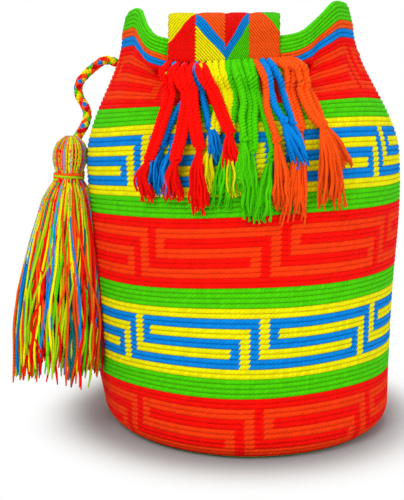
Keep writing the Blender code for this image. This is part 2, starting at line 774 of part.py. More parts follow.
def rear_fringe():
    """The rear fringe's cords side by side, in the same terms as the front's."""
    face = on_wall(REAR_ANGLE, STRAP_END_ROW)
    middle = (len(REAR_TIPS) - 1) / 2
    cords = []
    for number, (colour, tip_row) in enumerate(REAR_TIPS):
        place = number - middle
        across = place * FRINGE_SPACING - face[0] + neck_shift(STRAP_END_ROW)
        top = 180.0 + math.degrees(math.atan2(across, face[1]))
        tip = REAR_ANGLE + place * REAR_SPREAD
        cords.append((f"{colour}_{number + 1}", colour, 0, top, tip, 24 + number % 3, tip_row))
    return cords


def main():
    """Clear the scene and build every piece."""
    for thing in list(bpy.data.objects):
        bpy.data.objects.remove(thing)
    add_bag_body()
    add_strap()
    beside = TASSEL_HEAD_RADIUS + TASSEL_CLEARANCE
    front_top = np.array(beside_wall(FRONT_TASSEL_ANGLE, FRONT_TASSEL_TOP, beside))
    front_foot = np.array((*FRONT_TASSEL_FOOT, FRONT_TASSEL_TOP - TASSEL_LENGTH))
    rear_top = np.array(beside_wall(REAR_TASSEL_ANGLE, REAR_TASSEL_TOP, beside))
    rear_end = REAR_TASSEL_TOP - TASSEL_LENGTH
    rear_foot = np.array(beside_wall(REAR_TASSEL_FOOT_ANGLE, rear_end, REAR_TASSEL_FOOT_OUT))
    add_tassel("tassel_front", front_top, front_foot)
    add_tassel("tassel_rear", rear_top, rear_foot)
    add_cord("drawstring", drawstring_route(), CORD_DIAMETER, "yellow")
    add_free_end("drawstring_end_front", EYELET_ANGLES[0], FRONT_LOOP, front_top)
    add_free_end("drawstring_end_rear", EYELET_ANGLES[-1], REAR_TAIL, rear_top)
    add_fringe("fringe_front", front_fringe(), True)
    add_fringe("fringe_rear", rear_fringe(), False)


main()
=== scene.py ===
"""The looks of a crocheted bucket bag: crochet wall, woven strap, drawstring, yarn tassels, cord fringes.

Metres, +Z up. The origin is the centre of the base on the floor and the front faces -Y. Angles round
the bag are in degrees from the front towards +X, and heights on the wall are counted in crochet rows
from the rim down.
"""

import logging
import math
from dataclasses import dataclass, field, replace
from enum import Enum
from typing import Any

import bpy
import numpy as np
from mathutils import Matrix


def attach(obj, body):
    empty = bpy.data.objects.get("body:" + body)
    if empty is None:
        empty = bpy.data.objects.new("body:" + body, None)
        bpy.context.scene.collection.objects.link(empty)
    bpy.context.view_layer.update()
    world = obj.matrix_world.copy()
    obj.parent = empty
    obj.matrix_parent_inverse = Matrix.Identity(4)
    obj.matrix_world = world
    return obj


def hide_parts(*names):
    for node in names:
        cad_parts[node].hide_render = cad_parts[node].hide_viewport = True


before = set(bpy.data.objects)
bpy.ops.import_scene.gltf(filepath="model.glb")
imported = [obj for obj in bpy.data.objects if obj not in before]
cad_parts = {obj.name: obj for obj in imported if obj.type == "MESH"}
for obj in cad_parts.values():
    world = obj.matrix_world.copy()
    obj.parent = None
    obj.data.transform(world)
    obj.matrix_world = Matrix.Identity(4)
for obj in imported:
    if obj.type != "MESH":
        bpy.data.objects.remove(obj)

Array = np.ndarray
Colour = tuple[float, float, float, float]
MM = 0.001
GAP = 0.4 * MM
MATH, MIX = "ShaderNodeMath", "ShaderNodeMix"
# Where the four columns of the strap's braid start and end across it
COLUMN_EDGES = (0.0, 17.8 * MM, 36.3 * MM, 51.5 * MM, 70.0 * MM)
LOG = logging.getLogger("bucket_bag")


def linear(hex_colour: str) -> Colour:
    """Turn an sRGB hex colour into linear light.

    Args:
        hex_colour: Six hex digits, red, green, blue.

    Returns:
        Linear red, green and blue, and alpha 1.
    """
    shares = np.array([int(hex_colour[i : i + 2], 16) / 255 for i in (0, 2, 4)])
    light = np.where(shares <= 0.04045, shares / 12.92, ((shares + 0.055) / 1.055) ** 2.4)
    return (*[float(value) for value in light], 1.0)


class Yarn(Enum):
    """The dyed cotton yarns of the bag, as sRGB hex."""

    RED = "FF0A00"
    DARK_RED = "BE0A10"
    ORANGE = "FF5A10"
    CORAL = "FF3C08"
    GREEN = "4CD600"
    LIME = "A8DC10"
    BLUE = "008AE6"
    YELLOW = "F2F000"
    TEAL = "0A7882"

    def light(self) -> Array:
        """This yarn's linear colour as an array."""
        return np.array(linear(self.value))


def ease(value: Array | float, low: float, high: float) -> Array:
    """0 at low and 1 at high, with a soft start and end: 3 t squared less 2 t cubed."""
    share = np.clip((np.asarray(value, dtype=float) - low) / (high - low), 0.0, 1.0)
    return share * share * (3 - 2 * share)


def turn_from(angle: Array | float, centre: float) -> Array:
    """Signed angle from a centre in degrees, from -180 to 180."""
    return (np.asarray(angle, dtype=float) - centre + 180.0) % 360.0 - 180.0


def unit(vectors: Array) -> Array:
    """Vectors divided by their own length."""
    return vectors / np.maximum(np.linalg.norm(vectors, axis=-1, keepdims=True), 1e-12)


def smooth_line(points: Array, step: float) -> Array:
    """Even steps on a smooth curve through points: a cubic that passes each point along its neighbours.

    Args:
        points: Points to pass through, one row each.
        step: Distance between the points returned.

    Returns:
        Points on the curve.
    """
    points = np.asarray(points, dtype=float)
    padded = np.vstack((2 * points[0] - points[1], points, 2 * points[-1] - points[-2]))
    before, start, end, after = (padded[k : k + len(points) - 1, None] for k in range(4))
    t = np.linspace(0, 1, 16, endpoint=False)[None, :, None]
    curve = 0.5 * (
        2 * start
        + (end - before) * t
        + (2 * before - 5 * start + 4 * end - after) * t**2
        + (3 * start - before - 3 * end + after) * t**3
    )
    fine = np.vstack((curve.reshape(-1, points.shape[1]), points[-1:]))
    run = run_along(fine)
    marks = np.linspace(0, run[-1], max(3, round(run[-1] / step) + 1))
    return np.stack([np.interp(marks, run, fine[:, axis]) for axis in range(points.shape[1])], axis=-1)


def run_along(line: Array) -> Array:
    """The length run from a line's start to each of its points: the sum of the steps between them.

    Args:
        line: Points, or lines of points.

    Returns:
        Lengths, 0 at the start.
    """
    steps = np.linalg.norm(np.diff(line, axis=-2), axis=-1)
    return np.concatenate((np.zeros_like(steps[..., :1]), np.cumsum(steps, axis=-1)), axis=-1)


def ring_quads(index: Array) -> Array:
    """Faces that join each closed ring of points to the next.

    Args:
        index: Point numbers, rings by points, or tubes by rings by points.

    Returns:
        Four point numbers for each face, in a last axis.
    """
    after = np.roll(index, -1, axis=-1)
    low, high = index[..., :-1, :], index[..., 1:, :]
    return np.stack((low, after[..., :-1, :], after[..., 1:, :], high), axis=-1)


def corner_uv(left: Array, right: Array, low: Array, high: Array) -> Array:
    """UV of the four corners of each face of a grid.

    Args:
        left: u at each face's left side.
        right: u at its right side.
        low: v at its lower side.
        high: v at its upper side.

    Returns:
        Four corners by two, in the last axes.
    """
    corners = ((left, low), (right, low), (right, high), (left, high))
    return np.stack([np.stack(corner, axis=-1) for corner in corners], axis=-2)


@dataclass
class Patch:
    """Faces with their own UV and yarn colour, before they become a mesh."""

    points: Array
    quads: Array
    uv: Array
    yarn: Array
    caps: list[list[int]] = field(default_factory=list)
    cap_yarn: list[Array] = field(default_factory=list)
    extra: dict[str, Array] = field(default_factory=dict)


def join(patches: list[Patch]) -> Patch:
    """Put several patches side by side in one.

    Args:
        patches: The patches, none of which has extra colours.

    Returns:
        One patch that holds them all.
    """
    starts = np.concatenate(([0], np.cumsum([len(p.points) for p in patches])))
    caps = [[k + int(s) for k in cap] for p, s in zip(patches, starts) for cap in p.caps]
    return Patch(
        np.vstack([p.points for p in patches]),
        np.vstack([p.quads + s for p, s in zip(patches, starts)]),
        np.vstack([p.uv for p in patches]),
        np.vstack([p.yarn for p in patches]),
        caps,
        [colour for p in patches for colour in p.cap_yarn],
    )


def make_object(name: str, patch: Patch, material: bpy.types.Material) -> bpy.types.Object:
    """Make a mesh object from a patch, with its UV map and its yarn colours on the faces' corners.

    Args:
        name: The object's name.
        patch: Its faces.
        material: Its finish.

    Returns:
        The new object, at the origin.
    """
    mesh = bpy.data.meshes.new(name)
    mesh.from_pydata(patch.points.tolist(), [], patch.quads.tolist() + patch.caps)
    cap_corners = sum(len(cap) for cap in patch.caps)
    uv = np.vstack((patch.uv.reshape(-1, 2), np.zeros((cap_corners, 2))))
    mesh.uv_layers.new(name="yarn_run").data.foreach_set("uv", uv.astype(np.float32).ravel())
    ends = [np.tile(colour, (len(cap), 1)) for cap, colour in zip(patch.caps, patch.cap_yarn)]
    for label, faces in {"yarn": patch.yarn, **patch.extra}.items():
        corners = np.vstack([np.repeat(faces, 4, axis=0), *ends])
        layer = mesh.attributes.new(label, "FLOAT_COLOR", "CORNER")
        layer.data.foreach_set("color", corners.astype(np.float32).ravel())
    mesh.materials.append(material)
    mesh.shade_smooth()
    mesh.update()
    made = bpy.data.objects.new(name, mesh)
    bpy.context.collection.objects.link(made)
    return made


def frames_along(lines: Array) -> tuple[Array, Array]:
    """Two directions square to each line at each ring, carried from ring to ring without twist.

    Args:
        lines: Lines by rings by three.

    Returns:
        The two unit directions at each ring.
    """
    tangent = unit(np.gradient(lines, axis=1))
    upright = np.abs(tangent[:, 0, 2]) > 0.8
    seed = np.where(upright[:, None], np.array((1.0, 0.0, 0.0)), np.array((0.0, 0.0, 1.0)))
    side = np.zeros_like(lines)
    side[:, 0] = unit(seed - np.sum(seed * tangent[:, 0], axis=-1, keepdims=True) * tangent[:, 0])
    for ring in range(1, lines.shape[1]):
        along = tangent[:, ring]
        carried = side[:, ring - 1]
        side[:, ring] = unit(carried - np.sum(carried * along, axis=-1, keepdims=True) * along)
    return side, np.cross(tangent, side)


def tubes(lines: Array, radii: Array, sides: int, colours: Array) -> Patch:
    """Round tubes on many lines at once: a circle of the ring's radius, square to the line.

    Args:
        lines: Lines by rings by three.
        radii: The radius at each ring of each line.
        sides: Faces round a tube.
        colours: One colour for each line.

    Returns:
        The tubes, with u round the tube and v the length along it in metres.
    """
    count, rings = lines.shape[:2]
    first, second = frames_along(lines)
    turn = np.linspace(0, 2 * math.pi, sides, endpoint=False)
    around = first[:, :, None] * np.cos(turn)[:, None] + second[:, :, None] * np.sin(turn)[:, None]
    points = lines[:, :, None] + radii[:, :, None, None] * around
    index = np.arange(count * rings * sides).reshape(count, rings, sides)
    quads = ring_quads(index).reshape(-1, 4)
    run = run_along(lines)
    low = np.broadcast_to(run[:, :-1, None], (count, rings - 1, sides))
    high = np.broadcast_to(run[:, 1:, None], (count, rings - 1, sides))
    left = np.broadcast_to(np.arange(sides) / sides, low.shape)
    uv = corner_uv(left, left + 1 / sides, low, high)
    yarn = np.repeat(colours, (rings - 1) * sides, axis=0)
    caps = [row[::-1].tolist() for row in index[:, 0]] + [row.tolist() for row in index[:, -1]]
    return Patch(points.reshape(-1, 3), quads, uv.reshape(-1, 4, 2), yarn, caps, [*colours, *colours])


def add_node(
    tree: bpy.types.NodeTree, kind: str, inputs: dict | tuple = (), output: int | str = 0, **settings: Any
) -> Any:
    """Add a node with its settings, set or link its inputs, and pick one of its outputs.

    Args:
        tree: The node tree.
        kind: Blender's name for the node.
        inputs: Values or output sockets, in order, or by input name or number.
        output: Name or number of the output that is wanted.
        settings: The node's properties by name.

    Returns:
        The output's socket, or None from a node without outputs.
    """
    node = tree.nodes.new(kind)
    for name, value in settings.items():
        setattr(node, name, value)
    for key, value in inputs.items() if isinstance(inputs, dict) else enumerate(inputs):
        if isinstance(value, bpy.types.NodeSocket):
            tree.links.new(value, node.inputs[key])
        else:
            node.inputs[key].default_value = value
    return node.outputs[output] if len(node.outputs) else None


@dataclass(frozen=True)
class CottonFinish:
    """Dyed cotton: matt and full in colour, with painted shade, darker and redder, in the crevices between
    its yarns.

    Its fibres are hundredths of a millimetre thick, too fine to show, so their fuzz is drawn as tufts
    of about a millimetre.
    """

    name: str
    roughness: float = 0.9
    specular: float = 0.1
    relief: float = 0.8 * MM
    # Strength, depth and tint of the painted shade in the crevices
    crevice: float = 0.44
    crevice_shade_depth: float = 1.6
    crevice_shade_tint: str = "E7A29E"
    tuft: float = 0.9 * MM
    fuzz: float = 0.35

    def start(self) -> tuple[bpy.types.Material, bpy.types.NodeTree, Any, Any]:
        """Make the material's empty tree, and read its UV map.

        Returns:
            The material, its tree, and the sockets for u and v.
        """
        material = bpy.data.materials.new(self.name)
        material.use_nodes = True
        tree = material.node_tree
        tree.nodes.clear()
        uv = add_node(tree, "ShaderNodeUVMap", uv_map="yarn_run")
        u = add_node(tree, "ShaderNodeSeparateXYZ", (uv,))
        return material, tree, u, u.node.outputs[1]

    def fibres(self, tree: bpy.types.NodeTree) -> Any:
        """Noise from 0 to 1 on Object coordinates, at the size of a tuft of fibres.

        Args:
            tree: The node tree.

        Returns:
            The noise's socket.
        """
        place = add_node(tree, "ShaderNodeTexCoord", output="Object")
        inputs = {"Vector": place, "Scale": 1 / self.tuft, "Detail": 2.0}
        return add_node(tree, "ShaderNodeTexNoise", inputs)

    def roughen(self, tree: bpy.types.NodeTree, height: Any) -> Any:
        """Add the fibres' noise less a half, times the fuzz, to a relief.

        Args:
            tree: The node tree.
            height: The relief's socket.

        Returns:
            The new relief's socket.
        """
        noise = add_node(tree, MATH, (self.fibres(tree), 0.5), operation="SUBTRACT")
        return add_node(tree, MATH, (noise, self.fuzz, height), operation="MULTIPLY_ADD")

    def vary(self, tree: bpy.types.NodeTree, colour: Any, chance: Any, low: float, spread: float) -> Any:
        """Multiply a colour by a level: low plus spread times chance.

        Args:
            tree: The node tree.
            colour: The colour's socket.
            chance: A socket from 0 to 1.
            low: The least level.
            spread: How far the level goes above it.

        Returns:
            The new colour's socket.
        """
        level = add_node(tree, MATH, (chance, spread, low), operation="MULTIPLY_ADD")
        grey = add_node(tree, "ShaderNodeCombineColor", (level, level, level))
        inputs = {0: 1.0, 6: colour, 7: grey}
        return add_node(tree, MIX, inputs, 2, data_type="RGBA", blend_type="MULTIPLY")

    def close(self, tree: bpy.types.NodeTree, colour: Any, height: Any) -> None:
        """Paint shade into the colour in the crevices, and join colour and relief to the surface shader.

        Args:
            tree: The node tree.
            colour: The yarn's colour socket.
            height: The relief's socket, 0 in a crevice and 1 on a crown.
        """
        # Painted shade: the colour is darkened and reddened where the relief is low, in the crevices
        crown = add_node(tree, MATH, (height, self.crevice_shade_depth), operation="MULTIPLY", use_clamp=True)
        deep = add_node(tree, MATH, (1.0, crown), operation="SUBTRACT")
        share = add_node(tree, MATH, (deep, 2 * self.crevice), operation="MULTIPLY", use_clamp=True)
        inputs = {0: 1.0, 6: colour, 7: linear(self.crevice_shade_tint)}
        darker = add_node(tree, MIX, inputs, 2, data_type="RGBA", blend_type="MULTIPLY")
        shaded = add_node(tree, MIX, {0: share, 6: colour, 7: darker}, 2, data_type="RGBA")
        inputs = {"Distance": self.relief, "Strength": 1.0, "Height": height}
        bump = add_node(tree, "ShaderNodeBump", inputs)
        surface = {
            "Base Color": shaded,
            "Roughness": self.roughness,
            "Specular IOR Level": self.specular,
            "Normal": bump,
        }
        shader = add_node(tree, "ShaderNodeBsdfPrincipled", surface)
        add_node(tree, "ShaderNodeOutputMaterial", (shader,))


@dataclass(frozen=True)
class CrochetFinish(CottonFinish):
    """Single crochet worked round: to the eye, matt rows like ropes of stitches that lean to the right."""

    lean: float = 0.62
    stitch_crown: float = 0.8
    row_crown: float = 0.62
    between_stitches: float = 0.48

    def make(self) -> bpy.types.Material:
        """Build the crochet from the stitch count u and the row count v.

        Each stitch is a rounded lozenge: a row's hump, about a half lower where two stitches meet. Its
        sides lean, so where a leaning side passes into the next column the next column's yarn shows.

        Returns:
            The material.
        """
        material, tree, u, v = self.start()
        down = add_node(tree, MATH, (v,), operation="FRACT")
        leaning = add_node(tree, MATH, (down, self.lean, u), operation="MULTIPLY_ADD")
        across = add_node(tree, MATH, (leaning,), operation="FRACT")
        column = add_node(tree, MATH, (leaning,), operation="FLOOR")
        upright = add_node(tree, MATH, (u,), operation="FLOOR")
        row = add_node(tree, MATH, (v,), operation="FLOOR")
        moved = add_node(tree, MATH, (column, upright), operation="SUBTRACT")
        own = add_node(tree, "ShaderNodeAttribute", attribute_name="yarn")
        beside = add_node(tree, "ShaderNodeAttribute", attribute_name="yarn_next")
        colour = add_node(tree, MIX, {0: moved, 6: own, 7: beside}, 2, data_type="RGBA")
        stitch = self.hump(tree, across, self.stitch_crown)
        low = self.between_stitches
        height = add_node(tree, MATH, (stitch, 1 - low, low), operation="MULTIPLY_ADD")
        height = add_node(tree, MATH, (height, self.hump(tree, down, self.row_crown)), operation="MULTIPLY")
        cell = add_node(tree, "ShaderNodeCombineXYZ", (column, row))
        chance = add_node(tree, "ShaderNodeTexWhiteNoise", {"Vector": cell}, noise_dimensions="2D")
        colour = self.vary(tree, colour, chance, low=0.91, spread=0.15)
        self.close(tree, colour, self.roughen(tree, height))
        return material

    def hump(self, tree: bpy.types.NodeTree, share: Any, power: float) -> Any:
        """A hump from 0 to 1 and back: one less the square of 2 t less 1, to a power.

        Args:
            tree: The node tree.
            share: The socket of t, from 0 to 1.
            power: Below 1 for a flatter crown.

        Returns:
            The hump's socket.
        """
        centred = add_node(tree, MATH, (share, 2.0, -1.0), operation="MULTIPLY_ADD")
        square = add_node(tree, MATH, (centred, centred), operation="MULTIPLY")
        bow = add_node(tree, MATH, (1.0, square), operation="SUBTRACT", use_clamp=True)
        return add_node(tree, MATH, (bow, power), operation="POWER")


@dataclass(frozen=True)
class StrapFinish(CottonFinish):
    """Hand-braided strap: to the eye, four columns of matt ribs that lean in turn, in blocks of colour."""

    tuft: float = 0.8 * MM
    fuzz: float = 0.4
    rib: float = 2.3 * MM
    repeat: float = 110.0 * MM
    interlock: float = 2.4 * MM
    # Of each column: the slope of its ribs, and its colours with the share of the repeat where each begins
    columns: tuple = (
        (-1.2, ((0.0, Yarn.RED), (0.086, Yarn.YELLOW), (0.45, Yarn.GREEN), (0.72, Yarn.RED))),
        (
            1.12,
            (
                (0.0, Yarn.YELLOW),
                (0.199, Yarn.BLUE),
                (0.285, Yarn.ORANGE),
                (0.62, Yarn.GREEN),
                (0.8, Yarn.YELLOW),
            ),
        ),
        (-1.72, ((0.0, Yarn.BLUE), (0.08, Yarn.RED), (0.45, Yarn.YELLOW), (0.7, Yarn.GREEN))),
        (1.22, ((0.0, Yarn.ORANGE), (0.375, Yarn.GREEN), (0.6, Yarn.RED), (0.8, Yarn.ORANGE))),
    )

    def make(self) -> bpy.types.Material:
        """Build the four columns from u across the strap and v along it, both in metres.

        Two columns meet in a zigzag, because each rib's end reaches a little into the next column.

        Returns:
            The material.
        """
        material, tree, u, v = self.start()
        step = add_node(tree, MATH, (v, 1 / self.rib), operation="MULTIPLY")
        zigzag = add_node(tree, MATH, (step, 0.5), operation="PINGPONG")
        edge = add_node(tree, MATH, (zigzag, self.interlock, u), operation="MULTIPLY_ADD")
        colour, height = self.ribs(tree, u, v, 3)
        for number in (2, 1, 0):
            own, bow = self.ribs(tree, u, v, number)
            inside = add_node(tree, MATH, (edge, COLUMN_EDGES[number + 1]), operation="LESS_THAN")
            colour = add_node(tree, MIX, {0: inside, 6: colour, 7: own}, 2, data_type="RGBA")
            outside = add_node(tree, MATH, (1.0, inside), operation="SUBTRACT")
            height = add_node(tree, MATH, (height, outside), operation="MULTIPLY")
            height = add_node(tree, MATH, (bow, inside, height), operation="MULTIPLY_ADD")
        self.close(tree, colour, self.roughen(tree, height))
        return material

    def ribs(self, tree: bpy.types.NodeTree, u: Any, v: Any, number: int) -> tuple[Any, Any]:
        """One column's ribs: a rib is where v plus slope times u is the same, and has one colour all along.

        Args:
            tree: The node tree.
            u: The socket of the place across the strap.
            v: The socket of the place along it.
            number: The column's number from the strap's left edge.

        Returns:
            The sockets of the colour and the relief.
        """
        slope, stops = self.columns[number]
        across = add_node(tree, MATH, (u, COLUMN_EDGES[number]), operation="SUBTRACT")
        leaning = add_node(tree, MATH, (across, slope, v), operation="MULTIPLY_ADD")
        rib = add_node(tree, MATH, (leaning, 1 / self.rib), operation="MULTIPLY")
        whole = add_node(tree, MATH, (rib,), operation="FLOOR")
        part = add_node(tree, MATH, (rib,), operation="FRACT")
        place = add_node(tree, MATH, (whole, self.rib / self.repeat), operation="MULTIPLY")
        # Ten repeats more keep the share above 0, and a fifth of a rib keeps it off a colour's edge
        place = add_node(tree, MATH, (place, 10.0 + 0.2 * self.rib / self.repeat), operation="ADD")
        share = add_node(tree, MATH, (place,), operation="FRACT")
        colour = add_node(tree, "ShaderNodeValToRGB", (share,))
        ramp = colour.node.color_ramp
        ramp.interpolation = "CONSTANT"
        while len(ramp.elements) < len(stops):
            ramp.elements.new(1.0)
        for element, (start, yarn) in zip(ramp.elements, stops):
            element.position = start
            element.color = linear(yarn.value)
        half_turn = add_node(tree, MATH, (part, math.pi), operation="MULTIPLY")
        return colour, add_node(tree, MATH, (half_turn,), operation="SINE")


@dataclass(frozen=True)
class SpunFinish(CottonFinish):
    """Spun cotton yarn: to the eye, matt, with fine plies that wind round the strand."""

    tuft: float = 1.2 * MM
    pitch: float = 2.4 * MM
    plies: int = 3

    def make(self) -> bpy.types.Material:
        """Build the plies from u round the strand and v along it.

        The relief is the size of the sine of half a turn for each step of plies times u plus v over pitch.

        Returns:
            The material.
        """
        material, tree, u, v = self.start()
        wound = add_node(tree, MATH, (u, float(self.plies)), operation="MULTIPLY")
        turn = add_node(tree, MATH, (v, 1 / self.pitch, wound), operation="MULTIPLY_ADD")
        turn = add_node(tree, MATH, (turn, math.pi), operation="MULTIPLY")
        wave = add_node(tree, MATH, (turn,), operation="SINE")
        height = add_node(tree, MATH, (wave,), operation="ABSOLUTE")
        colour = add_node(tree, "ShaderNodeAttribute", attribute_name="yarn")
        colour = self.vary(tree, colour, self.fibres(tree), low=0.88, spread=0.24)
        self.close(tree, colour, height)
        return material


@dataclass(frozen=True)
class BagShape:
    """The bag's form: a round base, a turned corner, a belly, and a neck pleated by the drawstring."""

    rows: int = 94
    stitches: int = 224
    row: float = 3.22 * MM
    wall: float = 3.4 * MM
    belly_radius: float = 111.6 * MM
    foot_radius: float = 107.0 * MM
    neck_radius: float = 81.5 * MM
    rim_radius: float = 78.5 * MM
    corner: float = 15.0 * MM
    first_turn: float = math.radians(14.5)
    # Rows where the outline changes: the belly's widest, the neck's start and end, and the valley's end
    belly_row: float = 40
    shoulder_row: float = 34
    neck_row: float = 4.5
    valley_row: float = 26
    valley_drop: float = 26.0 * MM
    # How far it departs from a round form: rows that tilt, a neck off the axis, a rim that rolls down,
    # a wall that is nowhere quite even, and a foot that sags to the front
    lean: float = 0.042
    shift: float = -5.0 * MM
    roll: float = 5.0 * MM
    slack: float = 0.9 * MM
    sag: float = 5.5 * MM
    # The strap's two ends on the neck, in degrees, its width, and the rows where it ends and lies flat
    strap_angle: float = -5.0
    rear_angle: float = 185.0
    strap_width: float = 70.0 * MM
    strap_end_row: float = 6.4
    flat_start_row: float = 15
    cord_row: float = 11
    eyelets: tuple = (-90.0, -30.0, 30.0, 98.0, 150.0, 210.0)
    # Angle, depth and half width in degrees of each gather
    pleats: tuple = (
        (-42.0, 3.0 * MM, 6.0),
        (-33.0, 2.0 * MM, 3.0),
        (-61.0, 2.5 * MM, 8.0),
        (40.0, 3.5 * MM, 5.0),
        (30.0, 2.0 * MM, 3.0),
        (61.0, 2.5 * MM, 8.0),
        (118.0, 4.0 * MM, 7.0),
        (138.0, 5.5 * MM, 5.5),
        (-112.0, 4.0 * MM, 7.0),
        (-134.0, 5.5 * MM, 5.5),
    )

    def profile(self, row: Array) -> tuple[Array, Array]:
        """Radius and height of the mean outline at a row.

        The corner is an arc of the corner's radius. Above it the radius swells to the belly and narrows
        to the neck by eased steps, and the height is the length climbed less what the slope takes.

        Args:
            row: Rows from the rim.

        Returns:
            Radius and height in metres.
        """
        turned = self.corner * (math.pi / 2 - self.first_turn)
        up = (self.rows - row) * self.row
        turn = self.first_turn + np.minimum(up, turned) / self.corner
        radius = self.foot_radius - self.corner + self.corner * np.sin(turn)
        corner_row = self.rows - turned / self.row
        swell = (self.belly_radius - self.foot_radius) * ease(-row, -corner_row, -self.belly_row)
        gather = (self.belly_radius - self.neck_radius) * ease(-row, -self.shoulder_row, -self.neck_row)
        taper = (self.neck_radius - self.rim_radius) * np.clip(1 - row / self.neck_row, 0, 1)
        lost = 0.5 * gather**2 / ((self.shoulder_row - self.neck_row) * self.row)
        height = self.corner * (1 - np.cos(turn)) + np.maximum(up - turned, 0) - lost
        return radius + swell - gather - taper, height

    def valley(self, angle: Array) -> Array:
        """How far the rim is pulled down: 1 under the strap, and by eased steps 0 at the two ears.

        Args:
            angle: Degrees from the front.

        Returns:
            Shares of the drop.
        """
        front = turn_from(angle, self.strap_angle)
        back = turn_from(angle, self.rear_angle)
        left = 1 - ease(-front, 14.0, 56.0)
        right = 1 - ease(front, 22.0, 68.0)
        rear = 1 - ease(np.abs(back), 24.0, 64.0)
        return np.where(front < 0, left, right) * (np.abs(front) < 90) + rear * (np.abs(back) < 90)

    def strap_flat(self, angle: Array) -> Array:
        """How much further out the neck lies to be flat under the strap: one over a cosine, less 1.

        Args:
            angle: Degrees from the front.

        Returns:
            Shares of the radius.
        """
        half = math.degrees(math.asin(self.strap_width / 2 / self.neck_radius)) + 3.0
        lift = np.zeros_like(angle)
        for axis, centre in ((0.0, self.strap_angle), (180.0, self.rear_angle)):
            off = turn_from(angle, centre)
            from_axis = centre - axis + np.clip(off, -half, half)
            flat = math.cos(math.radians(self.strap_angle)) / np.cos(np.radians(from_axis)) - 1
            lift = lift + flat * (1 - ease(np.abs(off), half - 3.0, half + 24.0))
        return lift

    def gathers(self, angle: Array, widening: float = 1.0) -> Array:
        """Depth of the pleats at an angle: each is a bell curve.

        Args:
            angle: Degrees from the front.
            widening: Factor on each pleat's width.

        Returns:
            Depths in metres.
        """
        depth = np.zeros_like(angle)
        for centre, deep, half_width in self.pleats:
            depth = depth + deep * np.exp(-((turn_from(angle, centre) / (half_width * widening)) ** 2))
        return depth

    def middle(self, row: Array | float) -> Array:
        """How far a row's middle lies beside the axis, by an eased step from the belly to the neck."""
        return self.shift * ease(-np.asarray(row, dtype=float), -self.belly_row, -self.cord_row)

    def place(self, angle: Array, row: Array, pleated: float) -> Array:
        """Points of the outer face from angle and row.

        Args:
            angle: Degrees from the front.
            row: Rows from the rim.
            pleated: 1 for the pleated wall, 0 for the skin over its pleats.

        Returns:
            Points, in a last axis of three.
        """
        radius, height = self.profile(row)
        low = self.valley(angle)
        height = height - low * self.valley_drop * ease(-row, -self.valley_row, 0)
        under_strap = ease(-row, -self.flat_start_row, -self.strap_end_row)
        radius = radius * (1 + self.strap_flat(angle) * under_strap)
        share = ease(-row, -28, -15) * (0.2 + 0.8 * np.clip(row / self.cord_row, 0, 1))
        radius = radius - self.gathers(angle) * share * pleated
        turned = np.radians(angle)
        # The rim rolls down most where it climbs from the valley to an ear
        rolled = self.roll * (2.4 * low * (1 - low) + 0.5)
        height = height - rolled * np.clip(1 - row / 6, 0, 1)
        # The foot swells to the front and is drawn in at the left
        sideways = np.maximum(np.cos(turned), 0) - 1.3 * np.maximum(-np.sin(turned), 0)
        radius = radius + self.sag * ease(row, 78, 91) * sideways
        # Long low waves round and up the wall, from nothing at the base
        loose = self.slack * ease(-row, -self.rows, 10 - self.rows)
        radius = radius + loose * np.sin(2 * turned + row / 9) * np.sin(3 * turned - row / 13 + 1)
        height = height + loose * np.sin(3 * turned + row / 21 + 2) * np.sin(2 * turned + row / 12)
        height = height + self.lean * radius * np.sin(turned) * ease(-row, -self.rows, -self.belly_row)
        across = radius * np.sin(turned) + self.middle(row)
        return np.stack((across, -radius * np.cos(turned), height), axis=-1)

    def on_wall(self, angle: Any, row: Any, out: Any = 0.0, pleated: float = 1.0) -> Array:
        """Points on the wall, or out from it along its normal.

        Args:
            angle: Degrees from the front.
            row: Rows from the rim.
            out: Distance out in metres.
            pleated: 1 for the pleated wall, 0 for the skin over its pleats.

        Returns:
            Points, in a last axis of three.
        """
        angle, row, out = np.broadcast_arrays(*(np.asarray(x, dtype=float) for x in (angle, row, out)))
        around = self.place(angle + 0.5, row, pleated) - self.place(angle - 0.5, row, pleated)
        upward = self.place(angle, row - 0.25, pleated) - self.place(angle, row + 0.25, pleated)
        normal = unit(np.cross(around, upward))
        return self.place(angle, row, pleated) + normal * out[..., None]

    def beside_skin(self, angle: Any, row: Any, out: Any) -> Array:
        """Points straight out from the axis, as far as leaves a distance to the unpleated skin.

        Args:
            angle: Degrees from the front.
            row: Rows from the rim.
            out: The distance in metres.

        Returns:
            Points, in a last axis of three.
        """
        angle, row, out = np.broadcast_arrays(*(np.asarray(x, dtype=float) for x in (angle, row, out)))
        skin = self.on_wall(angle, row, 0.0, 0.0)
        normal = (self.on_wall(angle, row, MM, 0.0) - skin) / MM
        turned = np.radians(angle)
        away = np.stack((np.sin(turned), -np.cos(turned), 0 * turned), axis=-1)
        lean = np.sum(normal * away, axis=-1)
        return skin + away * (out / lean)[..., None]

    def beside_wall(self, angle: float, height: float, out: float) -> Array:
        """A point at an angle and a height, out from the bag's side along the radius.

        Args:
            angle: Degrees from the front.
            height: Height above the floor in metres.
            out: Distance from the side in metres.

        Returns:
            The point.
        """
        rows = np.arange(self.rows, -0.1, -0.5)
        side = self.place(np.full_like(rows, angle), rows, 1.0)
        middle = self.middle(rows)
        reach = np.interp(height, side[:, 2], np.hypot(side[:, 0] - middle, side[:, 1])) + out
        turned = math.radians(angle)
        across = np.interp(height, side[:, 2], middle) + reach * math.sin(turned)
        return np.array((across, -reach * math.cos(turned), height))

